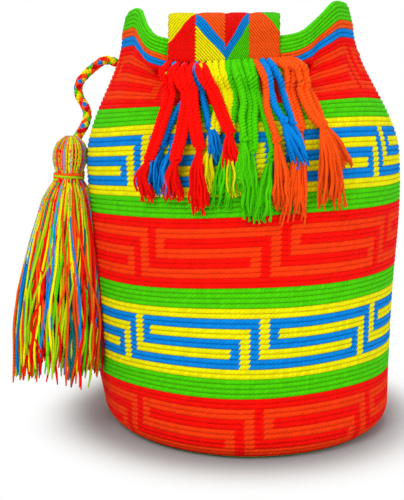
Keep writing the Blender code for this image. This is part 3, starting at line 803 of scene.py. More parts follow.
    def keep_off(self, points: Array, clearance: float) -> Array:
        """Push points out from the bag's axis until they clear its side.

        Args:
            points: Points, in a last axis of three.
            clearance: Least distance from the wall.

        Returns:
            The moved points.
        """
        rows = np.arange(self.rows, -0.1, -1.0)
        radius, height = self.profile(rows)
        level = points[..., 2] - self.lean * points[..., 0] * 0.7
        middle = np.interp(level, height, self.middle(rows))
        across = points[..., 0] - middle
        reach = np.hypot(across, points[..., 1])
        least = np.interp(level, height, radius) + clearance
        grown = np.maximum(reach, least) / np.maximum(reach, 1e-6)
        return np.stack((middle + across * grown, points[..., 1] * grown, points[..., 2]), axis=-1)


@dataclass
class CrochetBody:
    """The crocheted bucket in one piece: base, wall, eyelets and rim."""

    shape: BagShape
    samples: int = 3
    ridge: float = 0.8 * MM
    front_stitch: float = 27.0
    base_rounds: int = 29
    eyelet_columns: int = 3
    eyelet_thirds: int = 5
    # Rows, ground, figure, and where the figure starts in stitches, from the rim down
    bands: tuple = (
        (4, Yarn.GREEN, None, 0),
        (2, Yarn.ORANGE, None, 0),
        (2, Yarn.BLUE, None, 0),
        (14, Yarn.RED, Yarn.CORAL, 11),
        (4, Yarn.GREEN, None, 0),
        (14, Yarn.YELLOW, Yarn.BLUE, 6),
        (4, Yarn.GREEN, None, 0),
        (14, Yarn.RED, Yarn.CORAL, 7),
        (4, Yarn.GREEN, None, 0),
        (14, Yarn.YELLOW, Yarn.BLUE, 3),
        (4, Yarn.GREEN, None, 0),
        (13, Yarn.RED, Yarn.CORAL, 2),
        (1, Yarn.GREEN, None, 0),
    )
    fret_stitches: int = 28
    # Where each column of a fret starts, and its bars of two rows that are figure
    fret: tuple = (
        (0, (5,)),
        (2, (1, 2, 3, 5)),
        (4, (1, 3, 5)),
        (22, (1, 3, 4, 5)),
        (24, (1,)),
        (26, (1, 2, 3, 4, 5)),
    )

    def fret_map(self) -> Array:
        """Draw one fret.

        Returns:
            Bars by stitches, true where the figure is.
        """
        cells = np.zeros((7, self.fret_stitches), dtype=bool)
        ends = [start for start, _ in self.fret[1:]] + [self.fret_stitches]
        for (start, bars), end in zip(self.fret, ends):
            cells[list(bars), start:end] = True
        return cells

    def stitch_colours(self) -> Array:
        """Every stitch's colour by the pattern's rule.

        Returns:
            Rows by stitches by four.
        """
        cells = self.fret_map()
        stitch = np.arange(self.shape.stitches)
        rows = []
        for count, ground, figure, start in self.bands:
            band = np.broadcast_to(ground.light(), (count, self.shape.stitches, 4)).copy()
            if figure is not None:
                bars = cells[np.arange(count) // 2][:, (stitch - start) % self.fret_stitches]
                band[bars] = figure.light()
            rows.append(band)
        return np.concatenate(rows)

    def warp(self, column: Array, row: Array) -> tuple[Array, Array]:
        """Draw the grid round each eyelet: the block's square edge goes to an oval, fading outwards.

        Args:
            column: Columns of the grid.
            row: Rows of the grid.

        Returns:
            The moved columns and rows.
        """
        wide, tall = float(self.eyelet_columns), self.eyelet_thirds / 3
        for centre in self.centres():
            half = self.shape.stitches / 2
            off = (column - centre + half) % self.shape.stitches - half
            x, y = off / wide, (row - self.shape.cord_row) / tall
            square = np.maximum(np.maximum(np.abs(x), np.abs(y)), 1e-6)
            grow = 1 + (square / np.maximum(np.hypot(x, y), 1e-6) - 1) * (1 - ease(square, 1.0, 2.2))
            column = column + off * (grow - 1)
            row = row + y * tall * (grow - 1)
        return column, row

    def centres(self) -> list[int]:
        """The column in the middle of each eyelet."""
        count = self.shape.stitches
        return [round(angle * count / 360.0 + self.front_stitch) % count for angle in self.shape.eyelets]

    def ring(self, rows: Array, out: Array) -> Array:
        """Rings of the wall.

        Args:
            rows: The rings' rows.
            out: Each ring's distance out from the wall's face.

        Returns:
            Rings by columns by three.
        """
        column, row = np.meshgrid(np.arange(self.shape.stitches, dtype=float), rows)
        column, row = self.warp(column, row)
        angle = (column - self.front_stitch) * 360.0 / self.shape.stitches
        return self.shape.on_wall(angle, row, np.asarray(out)[:, None])

    def flat(self, radii: Array, height: Array) -> Array:
        """Rings of the base, on the level.

        Args:
            radii: Each ring's radius.
            height: Each ring's height.

        Returns:
            Rings by columns by three.
        """
        count = self.shape.stitches
        turn = np.radians((np.arange(count) - self.front_stitch) * 360.0 / count)
        spread = np.stack((np.sin(turn), -np.cos(turn), 0 * turn), axis=-1)
        rings = radii[:, None, None] * spread[None]
        rings[..., 2] = height[:, None]
        return rings

    def build(self, material: bpy.types.Material) -> bpy.types.Object:
        """Build the bucket as rings from the base's middle, up the outside and down the inside.

        Each row bulges by the ridge's height, as a parabola from one groove to the next.

        Args:
            material: The crochet finish.

        Returns:
            The bag's body.
        """
        shape = self.shape
        outer_rows = np.arange(shape.rows * self.samples, -1, -1) / self.samples
        phase = outer_rows % 1.0
        ridge = self.ridge * (1 - (2 * phase - 1) ** 2)
        # Inside, a ring a row down to the eyelets, thirds of a row about them, then every second row
        around_eyelets = np.arange(9 * 3, 13 * 3 + 1) / 3
        inner_rows = np.concatenate((np.arange(0, 9), around_eyelets, np.arange(14, shape.rows + 1, 2)))
        foot = float(shape.profile(np.array(float(shape.rows)))[0])
        rounds = np.linspace(0.0, 1.0, self.base_rounds + 1)[1:-1]
        below = self.flat(foot * rounds, 0.0004 * (np.arange(len(rounds)) % 2))
        # Two rings round the rim's crown, which stands a little over half the wall above the first row
        crest = self.ring(np.array((0.0, 0.0)), np.array((-0.2, -0.8)) * shape.wall)
        crest[..., 2] += 0.55 * shape.wall
        inside = self.ring(inner_rows, np.full(len(inner_rows), -shape.wall))
        floor_in = self.flat((foot - shape.wall) * rounds[::-4], np.full(len(rounds[::-4]), shape.wall))
        grid = np.concatenate((below, self.ring(outer_rows, ridge), crest, inside, floor_in))
        rows = np.concatenate(
            (
                shape.rows + (1 - rounds) * self.base_rounds,
                outer_rows,
                (-0.4, -0.6),
                inner_rows,
                shape.rows + (1 - rounds[::-4]) * self.base_rounds,
            )
        )
        first_outer, first_inner = len(below), len(below) + len(outer_rows) + 2
        patch = self.faces(grid, rows, first_outer, first_inner, outer_rows, inner_rows)
        return make_object("crochet_body", patch, material)

    def faces(
        self,
        grid: Array,
        rows: Array,
        first_outer: int,
        first_inner: int,
        outer_rows: Array,
        inner_rows: Array,
    ) -> Patch:
        """Join the rings with quads, leave out the eyelets, and wall them.

        Args:
            grid: Rings by columns by three.
            rows: The row count of each ring.
            first_outer: The outside's first ring.
            first_inner: The inside's first ring.
            outer_rows: Rows of the outside's rings.
            inner_rows: Rows of the inside's rings.

        Returns:
            The whole body.
        """
        rings, columns = grid.shape[:2]
        index = np.arange(rings * columns).reshape(rings, columns)
        quads = ring_quads(index)
        keep = np.ones((rings - 1, columns), dtype=bool)
        top = self.shape.cord_row - self.eyelet_thirds / 3
        bottom = self.shape.cord_row + self.eyelet_thirds / 3
        middle = (rows[:-1] + rows[1:]) / 2
        in_hole = (middle > top) & (middle < bottom)
        # Each eyelet's edge on the outside and on the inside, and the wall between the two
        walls = []
        low_out = first_outer + int(np.argmin(np.abs(outer_rows - bottom)))
        high_out = first_outer + int(np.argmin(np.abs(outer_rows - top)))
        low_in = first_inner + int(np.argmin(np.abs(inner_rows - bottom)))
        high_in = first_inner + int(np.argmin(np.abs(inner_rows - top)))
        for centre in self.centres():
            span = np.arange(centre - self.eyelet_columns, centre + self.eyelet_columns + 1) % columns
            keep[np.ix_(in_hole, span[:-1])] = False
            outside = self.loop(index, low_out, high_out, 1, span)
            inside = self.loop(index, low_in, high_in, -1, span)
            nxt_out, nxt_in = np.roll(outside, -1), np.roll(inside, -1)
            walls.append(np.stack((outside, nxt_out, nxt_in, inside), axis=-1))
        colours, beside = self.face_colours(middle, columns)
        left = np.broadcast_to(np.arange(columns, dtype=float), keep.shape)
        low = np.broadcast_to(rows[:-1, None], keep.shape)
        high = np.broadcast_to(rows[1:, None], keep.shape)
        whole = np.floor(np.minimum(low, high) + 1e-4)
        # A face's last corner is kept just inside its own stitch, so that it doesn't read as the next one
        almost = 0.9999
        low, high = np.clip(low, whole, whole + almost), np.clip(high, whole, whole + almost)
        uv = corner_uv(left, left + almost, low, high)
        wall_quads = np.vstack(walls)
        wall_uv = np.tile(np.array((0.5, 0.5)), (len(wall_quads), 4, 1))
        wall_colour = np.tile(Yarn.RED.light(), (len(wall_quads), 1))
        return Patch(
            grid.reshape(-1, 3),
            np.vstack((quads[keep], wall_quads)),
            np.vstack((uv[keep], wall_uv)),
            np.vstack((colours[keep], wall_colour)),
            [index[0][::-1].tolist(), index[-1].tolist()],
            [Yarn.GREEN.light(), Yarn.GREEN.light()],
            {"yarn_next": np.vstack((beside[keep], wall_colour))},
        )

    def loop(self, index: Array, low: int, high: int, step: int, span: Array) -> Array:
        """An eyelet's edge as a loop of points, the same way round on both faces of the wall.

        Args:
            index: The grid's point numbers.
            low: Ring of the eyelet's lower edge.
            high: Ring of its upper edge.
            step: 1 where rings go up, -1 where they go down.
            span: The columns across it.

        Returns:
            Point numbers.
        """
        upward = np.arange(low, high + step, step)
        return np.concatenate(
            (
                index[low, span[:-1]],
                index[upward[:-1], span[-1]],
                index[high, span[:0:-1]],
                index[upward[:0:-1], span[0]],
            )
        )

    def face_colours(self, middle: Array, columns: int) -> tuple[Array, Array]:
        """Colours of the faces, and of those one column on.

        Args:
            middle: Each ring of faces' middle row.
            columns: Number of columns; not used.

        Returns:
            Two arrays, rings by columns by four.
        """
        stitches = self.stitch_colours()
        edge = np.clip(np.floor(middle).astype(int), 0, self.shape.rows - 1)
        colours = stitches[edge].copy()
        # Under the last row come the base's rounds, in pairs of one colour
        rounds = np.floor(middle - self.shape.rows).astype(int)
        for number, yarn in ((0, Yarn.GREEN), (1, Yarn.YELLOW), (2, Yarn.RED)):
            colours[(rounds >= 0) & ((rounds // 2) % 3 == number)] = yarn.light()
        return colours, np.roll(colours, -1, axis=1)


@dataclass
class Strap:
    """The wide shoulder strap: over the mouth, folded down behind the bag and back up to its rear end."""

    shape: BagShape
    thickness: float = 3.4 * MM
    rise: float = 16.6 * MM
    bend: float = 8.0 * MM
    foot: float = 9.0 * MM
    fringe_diameter: float = 4.8 * MM
    fringe_tuft: float = 3.8 * MM
    step: float = 2.0 * MM
    across: int = 48
    length: float = field(default=0.0, init=False)

    def route(self) -> Array:
        """The strap's middle line from its front end to its rear end.

        Returns:
            Points along it.
        """
        shape, half = self.shape, self.thickness / 2
        lift = 2 * GAP + half
        rim = (shape.strap_end_row, 4, 2, 0)
        front = [shape.on_wall(shape.strap_angle, row, lift) for row in rim]
        back = [shape.on_wall(shape.rear_angle, row, lift) for row in rim]
        x, y_front, y_back = front[0][0], front[-1][1], back[-1][1]
        top = front[-1][2] + self.rise
        fold = back[-1][2] + 0.62 * self.rise
        over = fold + self.thickness + 4 * GAP
        under_fringe = self.fringe_diameter + self.thickness + 5 * GAP
        behind = [shape.on_wall(shape.rear_angle, row, under_fringe + half) for row in (20, 24, 28, 32, 38)]
        inner = shape.belly_radius + 3 * GAP + 2 * self.fringe_tuft + half
        outer = inner + self.thickness + GAP
        gap = self.thickness + 1.5 * GAP
        low = self.foot + half
        # Up the front of the rim, and over the mouth to the rear rim
        line = [(p[1], p[2]) for p in front]
        line += [(y_front, top - 8 * MM), (y_front + 4 * MM, top - 2 * MM), (y_front + 12 * MM, top)]
        line += [(y_front + 42 * MM, fold + 3 * MM), (0, fold), (y_back - 42 * MM, fold + 2 * MM)]
        line += [(y_back - 12 * MM, over), (y_back + 0.75 * self.bend, over)]
        # Down behind the bag in the outer of two layers, and round the fold above the floor
        line += [(y_back + 1.5 * self.bend + gap, fold - 8 * MM + gap)]
        line += [(p[1] + gap, p[2] + 0.4 * gap) for p in behind]
        line += [(outer, behind[-1][2] - 40 * MM), (outer + 1 * MM, low + 62 * MM)]
        line += [(outer + 5 * MM, low + 30 * MM), (outer + 5 * MM, low + 11 * MM), (outer - 2.5 * MM, low)]
        line += [(outer - 10 * MM, low + 10 * MM), (outer - 9.5 * MM, low + 30 * MM)]
        # Up again in the inner layer, over the rear rim and down to its rear end
        line += [(inner - 1 * MM, low + 62 * MM), (inner, behind[-1][2] - 40 * MM)]
        line += [(p[1], p[2]) for p in reversed(behind)]
        line += [(y_back + 1.5 * self.bend, fold - 9 * MM), (y_back + 0.75 * self.bend, fold)]
        line += [(y_back, fold - 7 * MM)]
        line += [(p[1], p[2]) for p in reversed(back)]
        return smooth_line(np.array([(x, y, z) for y, z in line]), self.step)

    def build(self, material: bpy.types.Material) -> bpy.types.Object:
        """Build the strap as a flat section carried along its line, and keep its length.

        The section is thinner at each edge of a column, so that a groove lies between two columns.

        Args:
            material: The strap finish.

        Returns:
            The strap.
        """
        line = self.route()
        side = np.array((1.0, 0.0, 0.0))
        face = unit(np.cross(side, unit(np.gradient(line, axis=0))))
        run = run_along(line)
        width = self.shape.strap_width
        x = np.linspace(-0.5, 0.5, self.across + 1)
        edges = np.array(COLUMN_EDGES) / width - 0.5
        nearest = np.min(np.abs(x[:, None] - edges[None]), axis=1)
        half = self.thickness / 2 * (0.62 + 0.38 * ease(nearest, 0.0, 0.055))
        section_x = np.concatenate((x, x[::-1])) * width
        section_y = np.concatenate((half, -half[::-1]))
        scallop = 1 + 0.008 * np.cos(2 * math.pi * run / (3.0 * MM))
        points = line[:, None] + side * (section_x[None] * scallop[:, None])[..., None]
        points = points + face[:, None] * section_y[None, :, None]
        rings, count = points.shape[:2]
        index = np.arange(rings * count).reshape(rings, count)
        quads = ring_quads(index).reshape(-1, 4)
        u = np.broadcast_to(section_x + width / 2, (rings - 1, count))
        u_next = np.roll(u, -1, axis=1)
        low = np.broadcast_to(run[:-1, None], u.shape)
        high = np.broadcast_to(run[1:, None], u.shape)
        uv = corner_uv(u, u_next, low, high).reshape(-1, 4, 2)
        patch = Patch(
            points.reshape(-1, 3),
            quads,
            uv,
            np.tile(Yarn.RED.light(), (len(quads), 1)),
            [index[0][::-1].tolist(), index[-1].tolist()],
            [Yarn.RED.light()] * 2,
        )
        self.length = float(run[-1])
        return make_object("strap_band", patch, material)


@dataclass
class Braid:
    """A round braid of eight yarns, four each way, that pass over and under each other."""

    diameter: float = 6.5 * MM
    sides: int = 24
    ways: int = 4
    pitch: float = 20.0 * MM
    ring_step: float = 0.9 * MM
    relief: float = 0.75 * MM
    colours: tuple = (
        Yarn.YELLOW,
        Yarn.RED,
        Yarn.ORANGE,
        Yarn.GREEN,
        Yarn.BLUE,
        Yarn.ORANGE,
        Yarn.YELLOW,
        Yarn.DARK_RED,
    )

    def patch(self, line: Array) -> Patch:
        """Cover a line with the braid.

        Round the cord at turn a and along it at length s, one set of yarns runs where a plus s is the
        same and the other where a less s is. The surface dips where two yarns of the set on top meet.

        Args:
            line: The cord's middle line.

        Returns:
            The braid's surface.
        """
        line = smooth_line(line, self.ring_step)
        rings = len(line)
        made = tubes(line[None], np.full((1, rings), self.diameter / 2), self.sides, Yarn.RED.light()[None])
        run = np.arange(rings) * self.ring_step
        turn = np.arange(self.sides) / self.sides
        plus = (turn[None] + run[:, None] / self.pitch) * self.ways
        less = (turn[None] - run[:, None] / self.pitch) * self.ways
        on_top = (np.floor(plus) + np.floor(less)) % 2 == 0
        edge = np.where(on_top, np.abs(np.sin(math.pi * plus)), np.abs(np.sin(math.pi * less)))
        rest = line[:, None] + 0 * turn[None, :, None]
        points = made.points.reshape(rings, self.sides, 3)
        inward = unit(rest - points)
        made.points = (points + inward * (self.relief * (1 - edge**0.7))[..., None]).reshape(-1, 3)
        one_way, other_way = np.floor(plus) % self.ways, np.floor(less) % self.ways
        number = np.where(on_top, one_way, self.ways + other_way).astype(int)
        palette = np.array([yarn.light() for yarn in self.colours])
        made.yarn = palette[number[:-1].reshape(-1)]
        return made


@dataclass
class Drawstring:
    """The braided drawstring: threaded through six eyelets, with two ends that carry tassels."""

    shape: BagShape
    braid: Braid = field(default_factory=Braid)
    lip: float = 1.5 * MM
    # Bends of the front end in mm, in the bag's own axes
    front_bends: tuple = (
        (-101.5, -2.0, 258.0),
        (-108.0, -2.0, 253.5),
        (-113.7, -2.5, 248.6),
        (-118.2, -3.0, 243.2),
        (-119.5, -3.5, 237.5),
        (-118.2, -4.0, 231.8),
        (-115.5, -5.5, 227.5),
        (-112.6, -8.5, 222.5),
        (-111.9, -12.0, 217.0),
        (-113.4, -17.0, 211.0),
    )
    # Angle, height and distance from the wall in mm of each bend of the rear end
    rear_bends: tuple = (
        (215.0, 237.0, 11.0),
        (218.0, 224.0, 7.2),
        (220.0, 212.0, 5.2),
        (221.0, 203.0, 9.7),
    )
    # Angle, height and distance from the wall in mm of each tassel's top, and of the rear one's foot
    front_top: tuple = (-77.5, 204.0, 13.4)
    rear_top: tuple = (221.0, 190.0, 14.9)
    rear_foot: tuple = (222.0, 27.0, 26.0)
    # The front tassel's foot in mm, in the bag's own axes
    front_foot: tuple = (-128.5, -50.0, 41.0)

    def beside(self, *spots: tuple) -> Array:
        """Points beside the wall, from the angle, height and distance of each in mm."""
        return np.array([self.shape.beside_wall(turn, up * MM, out * MM) for turn, up, out in spots])

    def threaded(self) -> Array:
        """The run through the eyelets: out from the wall by an eased step at each, then in at the next.

        Returns:
            Points along it.
        """
        shape = self.shape
        first, *between, last = shape.eyelets
        # Points lie close together at an eyelet, where the cord passes through the wall
        angles = [first + 4.0, first + 8.0]
        for eyelet in between:
            angles += [eyelet + off for off in (-40, -30, -20, -12.5, -8, -4.2, -1.8, 1.8, 4.2, 8)]
        angles += [last + off for off in (-40, -30, -20, -8, -4)]
        angle = np.array(angles, dtype=float)
        reach = self.braid.diameter / 2 + 2 * GAP
        inside = -shape.gathers(angle, 1.6) - shape.wall - reach
        share = np.zeros_like(angle)
        for number, eyelet in enumerate(between):
            share = share + (-1) ** number * ease(angle, eyelet - 4.0, eyelet + 4.0)
        middle = shape.on_wall(angle, shape.cord_row, inside + (reach - inside) * share, 0.0)
        within = -shape.wall - 5 * GAP
        start = [shape.on_wall(first, shape.cord_row, out) for out in (self.lip, within)]
        end = [shape.on_wall(last, shape.cord_row, out) for out in (within, self.lip)]
        return np.vstack((start, middle, end))

    def free_end(self, eyelet: float, bends: Array, top: Array, foot: Array) -> Array:
        """A free end's line: out of its eyelet, over its bends, and down into its tassel's bundle.

        Args:
            eyelet: The eyelet's angle.
            bends: The points where it bends.
            top: The tassel's top.
            foot: The tassel's foot.

        Returns:
            Points along it.
        """
        outs = (self.lip + 2 * GAP, self.lip + self.braid.diameter)
        line = [self.shape.on_wall(eyelet, self.shape.cord_row, out) for out in outs]
        line += [*bends, *(top + (foot - top) * share for share in (0.06, 0.13, 0.22, 0.32))]
        return smooth_line(np.array(line), 2 * MM)


@dataclass
class Tassel:
    """A yarn tassel: strands folded over at the head, bound at the neck, spread into a ragged skirt."""

    shape: BagShape
    name: str
    top: Array
    foot: Array
    seed: int
    strands: int = 460
    rings: int = 30
    head_radius: float = 11.5 * MM
    neck_radius: float = 8.8 * MM
    skirt_radius: float = 30.0 * MM
    head_share: float = 24.0 / 163.0
    band_share: float = 7.0 / 163.0
    yarn_radius: float = 0.92 * MM
    palette: tuple = (
        (Yarn.RED, 0.16),
        (Yarn.ORANGE, 0.22),
        (Yarn.LIME, 0.27),
        (Yarn.YELLOW, 0.16),
        (Yarn.GREEN, 0.07),
        (Yarn.BLUE, 0.05),
        (Yarn.DARK_RED, 0.04),
        (Yarn.TEAL, 0.03),
    )

    def outline(self, share: Array) -> Array:
        """The tassel's outline: a round head, a tight neck and a skirt that swells and hangs.

        Args:
            share: Shares of its length, from its top to its foot.

        Returns:
            Radii in metres.
        """
        neck, band = self.head_share, self.band_share
        head = (0, 0.012, 0.03, 0.06, 0.09, 0.115, 0.13, neck)
        marks = (*head, neck + band, neck + 1.5 * band, 0.265, 0.415, 0.52, 0.64, 0.8, 1.0)
        sizes = (0.3, 0.55, 0.8, 0.98, 1.0, 0.94, 0.86)
        widths = [size * self.head_radius for size in sizes] + [self.neck_radius] * 2
        widths += [size * self.skirt_radius for size in (0.42, 0.58, 0.78, 0.88, 0.98, 1.0, 0.95)]
        return np.interp(share, marks, widths)

    def lines(self) -> Array:
        """The strands' lines: each keeps its own place in the bundle, sways and ends at its own length.

        Returns:
            Strands by rings by three.
        """
        rng = np.random.default_rng(self.seed)
        # Two strands in three lie on the outside, and one in ten hangs loose
        turn = rng.uniform(0, 2 * math.pi, self.strands)[:, None]
        depth = np.sqrt(rng.uniform(0.18, 1.0, self.strands))[:, None]
        depth[: self.strands * 2 // 3] = 0.99
        reach = rng.uniform(0.84, 1.03, self.strands)[:, None]
        t = np.linspace(0, 1, self.rings)[None] ** 1.25
        share = t * reach
        free = ease(share, self.head_share + self.band_share, 0.9)
        spread = ease(share, 0.0, 0.4)
        radius = self.outline(share) * (depth * (0.55 + 0.45 * spread) + 0.45 * (1 - spread))
        radius = radius * (1 + rng.normal(0, 0.07, self.strands)[:, None] * free)
        sway = rng.normal(0, 0.3, self.strands)[:, None] * free
        wave = rng.uniform(1.5, 4.0, self.strands)[:, None]
        phase = rng.uniform(0, 2 * math.pi, self.strands)[:, None]
        loose = 1.6 * MM + 3.5 * MM * (rng.uniform(0, 1, self.strands)[:, None] > 0.9)
        curl = loose * free * np.sin(wave * 2 * math.pi * share + phase)
        angle = turn + sway
        axis = self.top + (self.foot - self.top) * share[..., None]
        across = np.stack((np.cos(angle), np.sin(angle), np.zeros_like(angle)), axis=-1)
        tangent = np.stack((-np.sin(angle), np.cos(angle), np.zeros_like(angle)), axis=-1)
        points = axis + across * radius[..., None] + tangent * curl[..., None]
        points[..., 2] += 3.0 * MM * np.sin(3 * angle + 0.8) * free
        clear = self.shape.keep_off(points, 1.6 * MM)
        return points + (clear - points) * ease(share, self.head_share, self.head_share + 0.1)[..., None]

    def colours(self) -> Array:
        """Pick a yarn for each strand by the palette's shares.

        Returns:
            One colour for each strand.
        """
        rng = np.random.default_rng(self.seed + 1)
        light = np.array([yarn.light() for yarn, _ in self.palette])
        chance = np.array([share for _, share in self.palette])
        picked = light[rng.choice(len(light), self.strands, p=chance / chance.sum())]
        picked[:, :3] *= rng.uniform(0.82, 1.1, self.strands)[:, None]
        return picked

    def core(self) -> Patch:
        """The bundle's middle, so that no light shows through the strands: a solid of revolution in a dark
        painted shade.

        Returns:
            A closed patch.
        """
        share = np.linspace(0.02, 0.93, 14)
        line = (self.top + (self.foot - self.top) * share[:, None])[None]
        radii = self.outline(share) * 0.72
        # Painted shade: the core is dark red at six tenths, for the shade inside the bundle
        made = tubes(line, radii[None], 24, Yarn.DARK_RED.light()[None] * 0.6)
        made.points = self.shape.keep_off(made.points, 1.2 * MM)
        return made

    def build(self, material: bpy.types.Material) -> bpy.types.Object:
        """Build the tassel's strands round its core.

        Args:
            material: The spun yarn.

        Returns:
            The tassel.
        """
        lines = self.lines()
        radii = np.full(lines.shape[:2], self.yarn_radius)
        radii[:, -1] *= 0.5
        patch = join([self.core(), tubes(lines, radii, 5, self.colours())])
        return make_object(f"{self.name}_yarn", patch, material)

    def binding(self, material: bpy.types.Material) -> bpy.types.Object:
        """Build the yarn wound round the neck: two helices, one of each colour.

        Args:
            material: The spun yarn.

        Returns:
            The binding.
        """
        along = (self.foot - self.top) / np.linalg.norm(self.foot - self.top)
        start = self.top + (self.foot - self.top) * (self.head_share + 0.1 * self.band_share)
        patches = []
        for number, yarn in enumerate((Yarn.ORANGE, Yarn.LIME)):
            turn = np.linspace(0, 3.3 * math.pi, 60)
            drop = turn / (2 * math.pi) * 2.4 * MM + number * 1.3 * MM + 0.4 * MM * np.sin(turn + number)
            ring = np.stack((np.cos(turn), np.sin(turn), 0 * turn), axis=-1) * (self.neck_radius + 1.3 * MM)
            line = start + ring + along * drop[:, None]
            patches.append(tubes(line[None], np.full((1, 60), 0.95 * MM), 8, yarn.light()[None]))
        return make_object(f"{self.name}_wrap", join(patches), material)


@dataclass(frozen=True)
class Strand:
    """One cord of a fringe: its name, yarn, layer, start angle, and the angles and rows it passes."""

    name: str
    yarn: Yarn
    layer: float
    start: float
    path: tuple
    twin: bool = False
    fan: float = 2.9


@dataclass
class Fringe:
    """Twisted two-ply cords from the strap's end, each with a knot and a frayed tuft below it."""

    shape: BagShape
    diameter: float = 4.7 * MM
    half: float = 2.4 * MM
    spacing: float = 5.6 * MM
    twist: float = 4.4 * MM
    pair: float = 1.45
    layer_gap: float = 4.6 * MM
    tuft_strands: int = 40
    tuft_rings: int = 14
    tuft_radius: float = 0.82 * MM

    def out(self, row: Array, layer: float, over_cord: bool) -> Array:
        """Distance of a cord's middle from the skin: out of the strap's end, over the drawstring, down.

        Args:
            row: Rows from the rim.
            layer: 0 for a cord on the wall, more for one over others.
            over_cord: Whether the drawstring passes under it.

        Returns:
            Distances in metres.
        """
        rest = self.half + 2 * GAP
        end = 2 * GAP + 2.2 * MM
        crossing = Braid.diameter + 4 * GAP + self.half if over_cord else rest + 1.5 * MM
        strap_end, cord_row = self.shape.strap_end_row, self.shape.cord_row
        marks = (strap_end, cord_row - 2, cord_row + 2, cord_row + 7)
        above = layer * self.layer_gap * ease(row, strap_end, cord_row)
        return np.interp(row, marks, (end, crossing, crossing, rest)) + above

    def build(
        self, strand: Strand, over_cord: bool, material: bpy.types.Material, prefix: str
    ) -> bpy.types.Object:
        """Build one cord with its knot and tuft.

        Args:
            strand: The cord's facts.
            over_cord: Whether the drawstring passes under it.
            material: The spun yarn.
            prefix: What its name starts with.

        Returns:
            The cord.
        """
        # The name's letters give each cord a chance of its own, the same at each run
        seed = sum(ord(letter) * (k + 3) for k, letter in enumerate(prefix + strand.name))
        rng = np.random.default_rng(seed)
        path = np.array(((strand.start, self.shape.strap_end_row - 0.4), *strand.path))
        knot = len(path) - 3
        upper = smooth_line(path[: knot + 1], 0.5)
        out = self.out(upper[:, 1], strand.layer, over_cord)
        apart = self.pair * np.linspace(1.0, 0.6, len(upper)) if strand.twin else 0.0
        cord = self.shape.beside_skin(upper[:, 0], upper[:, 1], out)
        patches = [self.knot(cord[-1], unit(cord[-1] - cord[-4]), strand.yarn)]
        for side in (-1, 1) if strand.twin else (1,):
            beside = self.shape.beside_skin(upper[:, 0] + side * apart, upper[:, 1], out)
            patches.append(self.twisted(beside, strand.yarn))
        patches.append(self.tuft(path[knot:], strand, over_cord, rng))
        return make_object(f"{prefix}_{strand.name}_cord", join(patches), material)

    def twisted(self, line: Array, yarn: Yarn) -> Patch:
        """Two plies wound round a line: each is a helix at a quarter of the cord's diameter.

        Painted shade darkens a face the nearer it lies to the line, in the groove between the plies, and a
        touch of painted highlight lightens the plies' crowns.

        Args:
            line: The cord's middle line.
            yarn: Its yarn.

        Returns:
            The two plies.
        """
        line = smooth_line(line, 0.5 * MM)
        first, second = (side[0] for side in frames_along(line[None]))
        run = np.arange(len(line)) * 0.5 * MM
        turn = 2 * math.pi * run / self.twist + np.array((0.0, math.pi))[:, None]
        wound = first[None] * np.cos(turn)[..., None] + second[None] * np.sin(turn)[..., None]
        plies = line[None] + wound * self.diameter * 0.25
        radii = np.full(plies.shape[:2], self.diameter * 0.26)
        made = tubes(plies, radii, 6, np.tile(yarn.light(), (2, 1)))
        # Painted shade in the groove between the plies, and a touch of painted highlight on their crowns:
        # each face's colour scales with its distance from the line
        reach = np.linalg.norm(made.points.reshape(2, -1, 6, 3) - line[None, :, None], axis=-1)
        middle = (reach[:, :-1] + reach[:, 1:]) / 2
        middle = (middle + np.roll(middle, -1, axis=2)) / 2
        crown = ease(middle.reshape(-1, 1), 0.2 * self.diameter, 0.46 * self.diameter)
        made.yarn[:, :3] *= 0.42 + 0.62 * crown
        return made

    def knot(self, place: Array, along: Array, yarn: Yarn) -> Patch:
        """An overhand knot: a closed loop that winds twice round the cord while it turns three times.

        Args:
            place: The knot's middle.
            along: The cord's direction there.
            yarn: Its yarn.

        Returns:
            The knot.
        """
        t = np.linspace(0, 2 * math.pi, 46)
        side = unit(np.cross(along, np.array((0.0, 1.0, 0.2))))
        front = np.cross(along, side)
        reach = self.diameter * (0.34 + 0.14 * np.cos(3 * t))
        line = place + side * (reach * np.cos(2 * t))[:, None] + front * (reach * np.sin(2 * t))[:, None]
        line = line + along * (self.diameter * 0.34 * np.sin(3 * t))[:, None]
        return tubes(line[None], np.full((1, 46), self.diameter * 0.22), 7, yarn.light()[None])

    def tuft(self, path: Array, strand: Strand, over_cord: bool, rng: np.random.Generator) -> Patch:
        """The frayed end: strands that fan out from the knot, wave, and end at their own lengths.

        Args:
            path: Angles and rows from the knot to the tip.
            strand: The cord's facts.
            over_cord: Whether the drawstring passes under it.
            rng: The tuft's own chance.

        Returns:
            The strands.
        """
        count = self.tuft_strands
        middle = smooth_line(path, 0.25)
        share = np.linspace(0, 1, self.tuft_rings)[None] * rng.uniform(0.78, 1.08, count)[:, None]
        marks = np.linspace(0, 1, len(middle))
        angle = np.interp(share, marks, middle[:, 0])
        row = np.interp(share, marks, middle[:, 1]) + np.maximum(share - 1, 0) * (path[-1, 1] - path[0, 1])
        spread = strand.fan * rng.uniform(-1, 1, count)[:, None] * share**0.6
        wave = rng.uniform(1.0, 2.6, count)[:, None]
        phase = rng.uniform(0, 2 * math.pi, count)[:, None]
        ripple = 0.45 * np.sin(2 * math.pi * wave * share + phase) * share
        lift = np.abs(rng.normal(0, 2.2 * MM, count))[:, None] * ease(share, 0, 0.5)
        out = self.out(row, strand.layer, over_cord) * (1 - 0.55 * ease(share, 0.3, 1.0)) + lift
        swell = rng.uniform(0, 2 * math.pi, count)[:, None]
        out = out + 1.5 * MM * np.sin(math.pi * np.clip(share, 0, 1)) * np.sin(swell)
        lines = self.shape.beside_skin(angle + spread + ripple, row, np.maximum(out, 1.0 * MM))
        radii = np.full((count, self.tuft_rings), self.tuft_radius) * (1 - 0.3 * ease(share, 0.7, 1.0))
        light = np.tile(strand.yarn.light(), (count, 1))
        light[:, :3] *= rng.uniform(0.84, 1.06, count)[:, None]
        return tubes(lines, radii, 5, light)


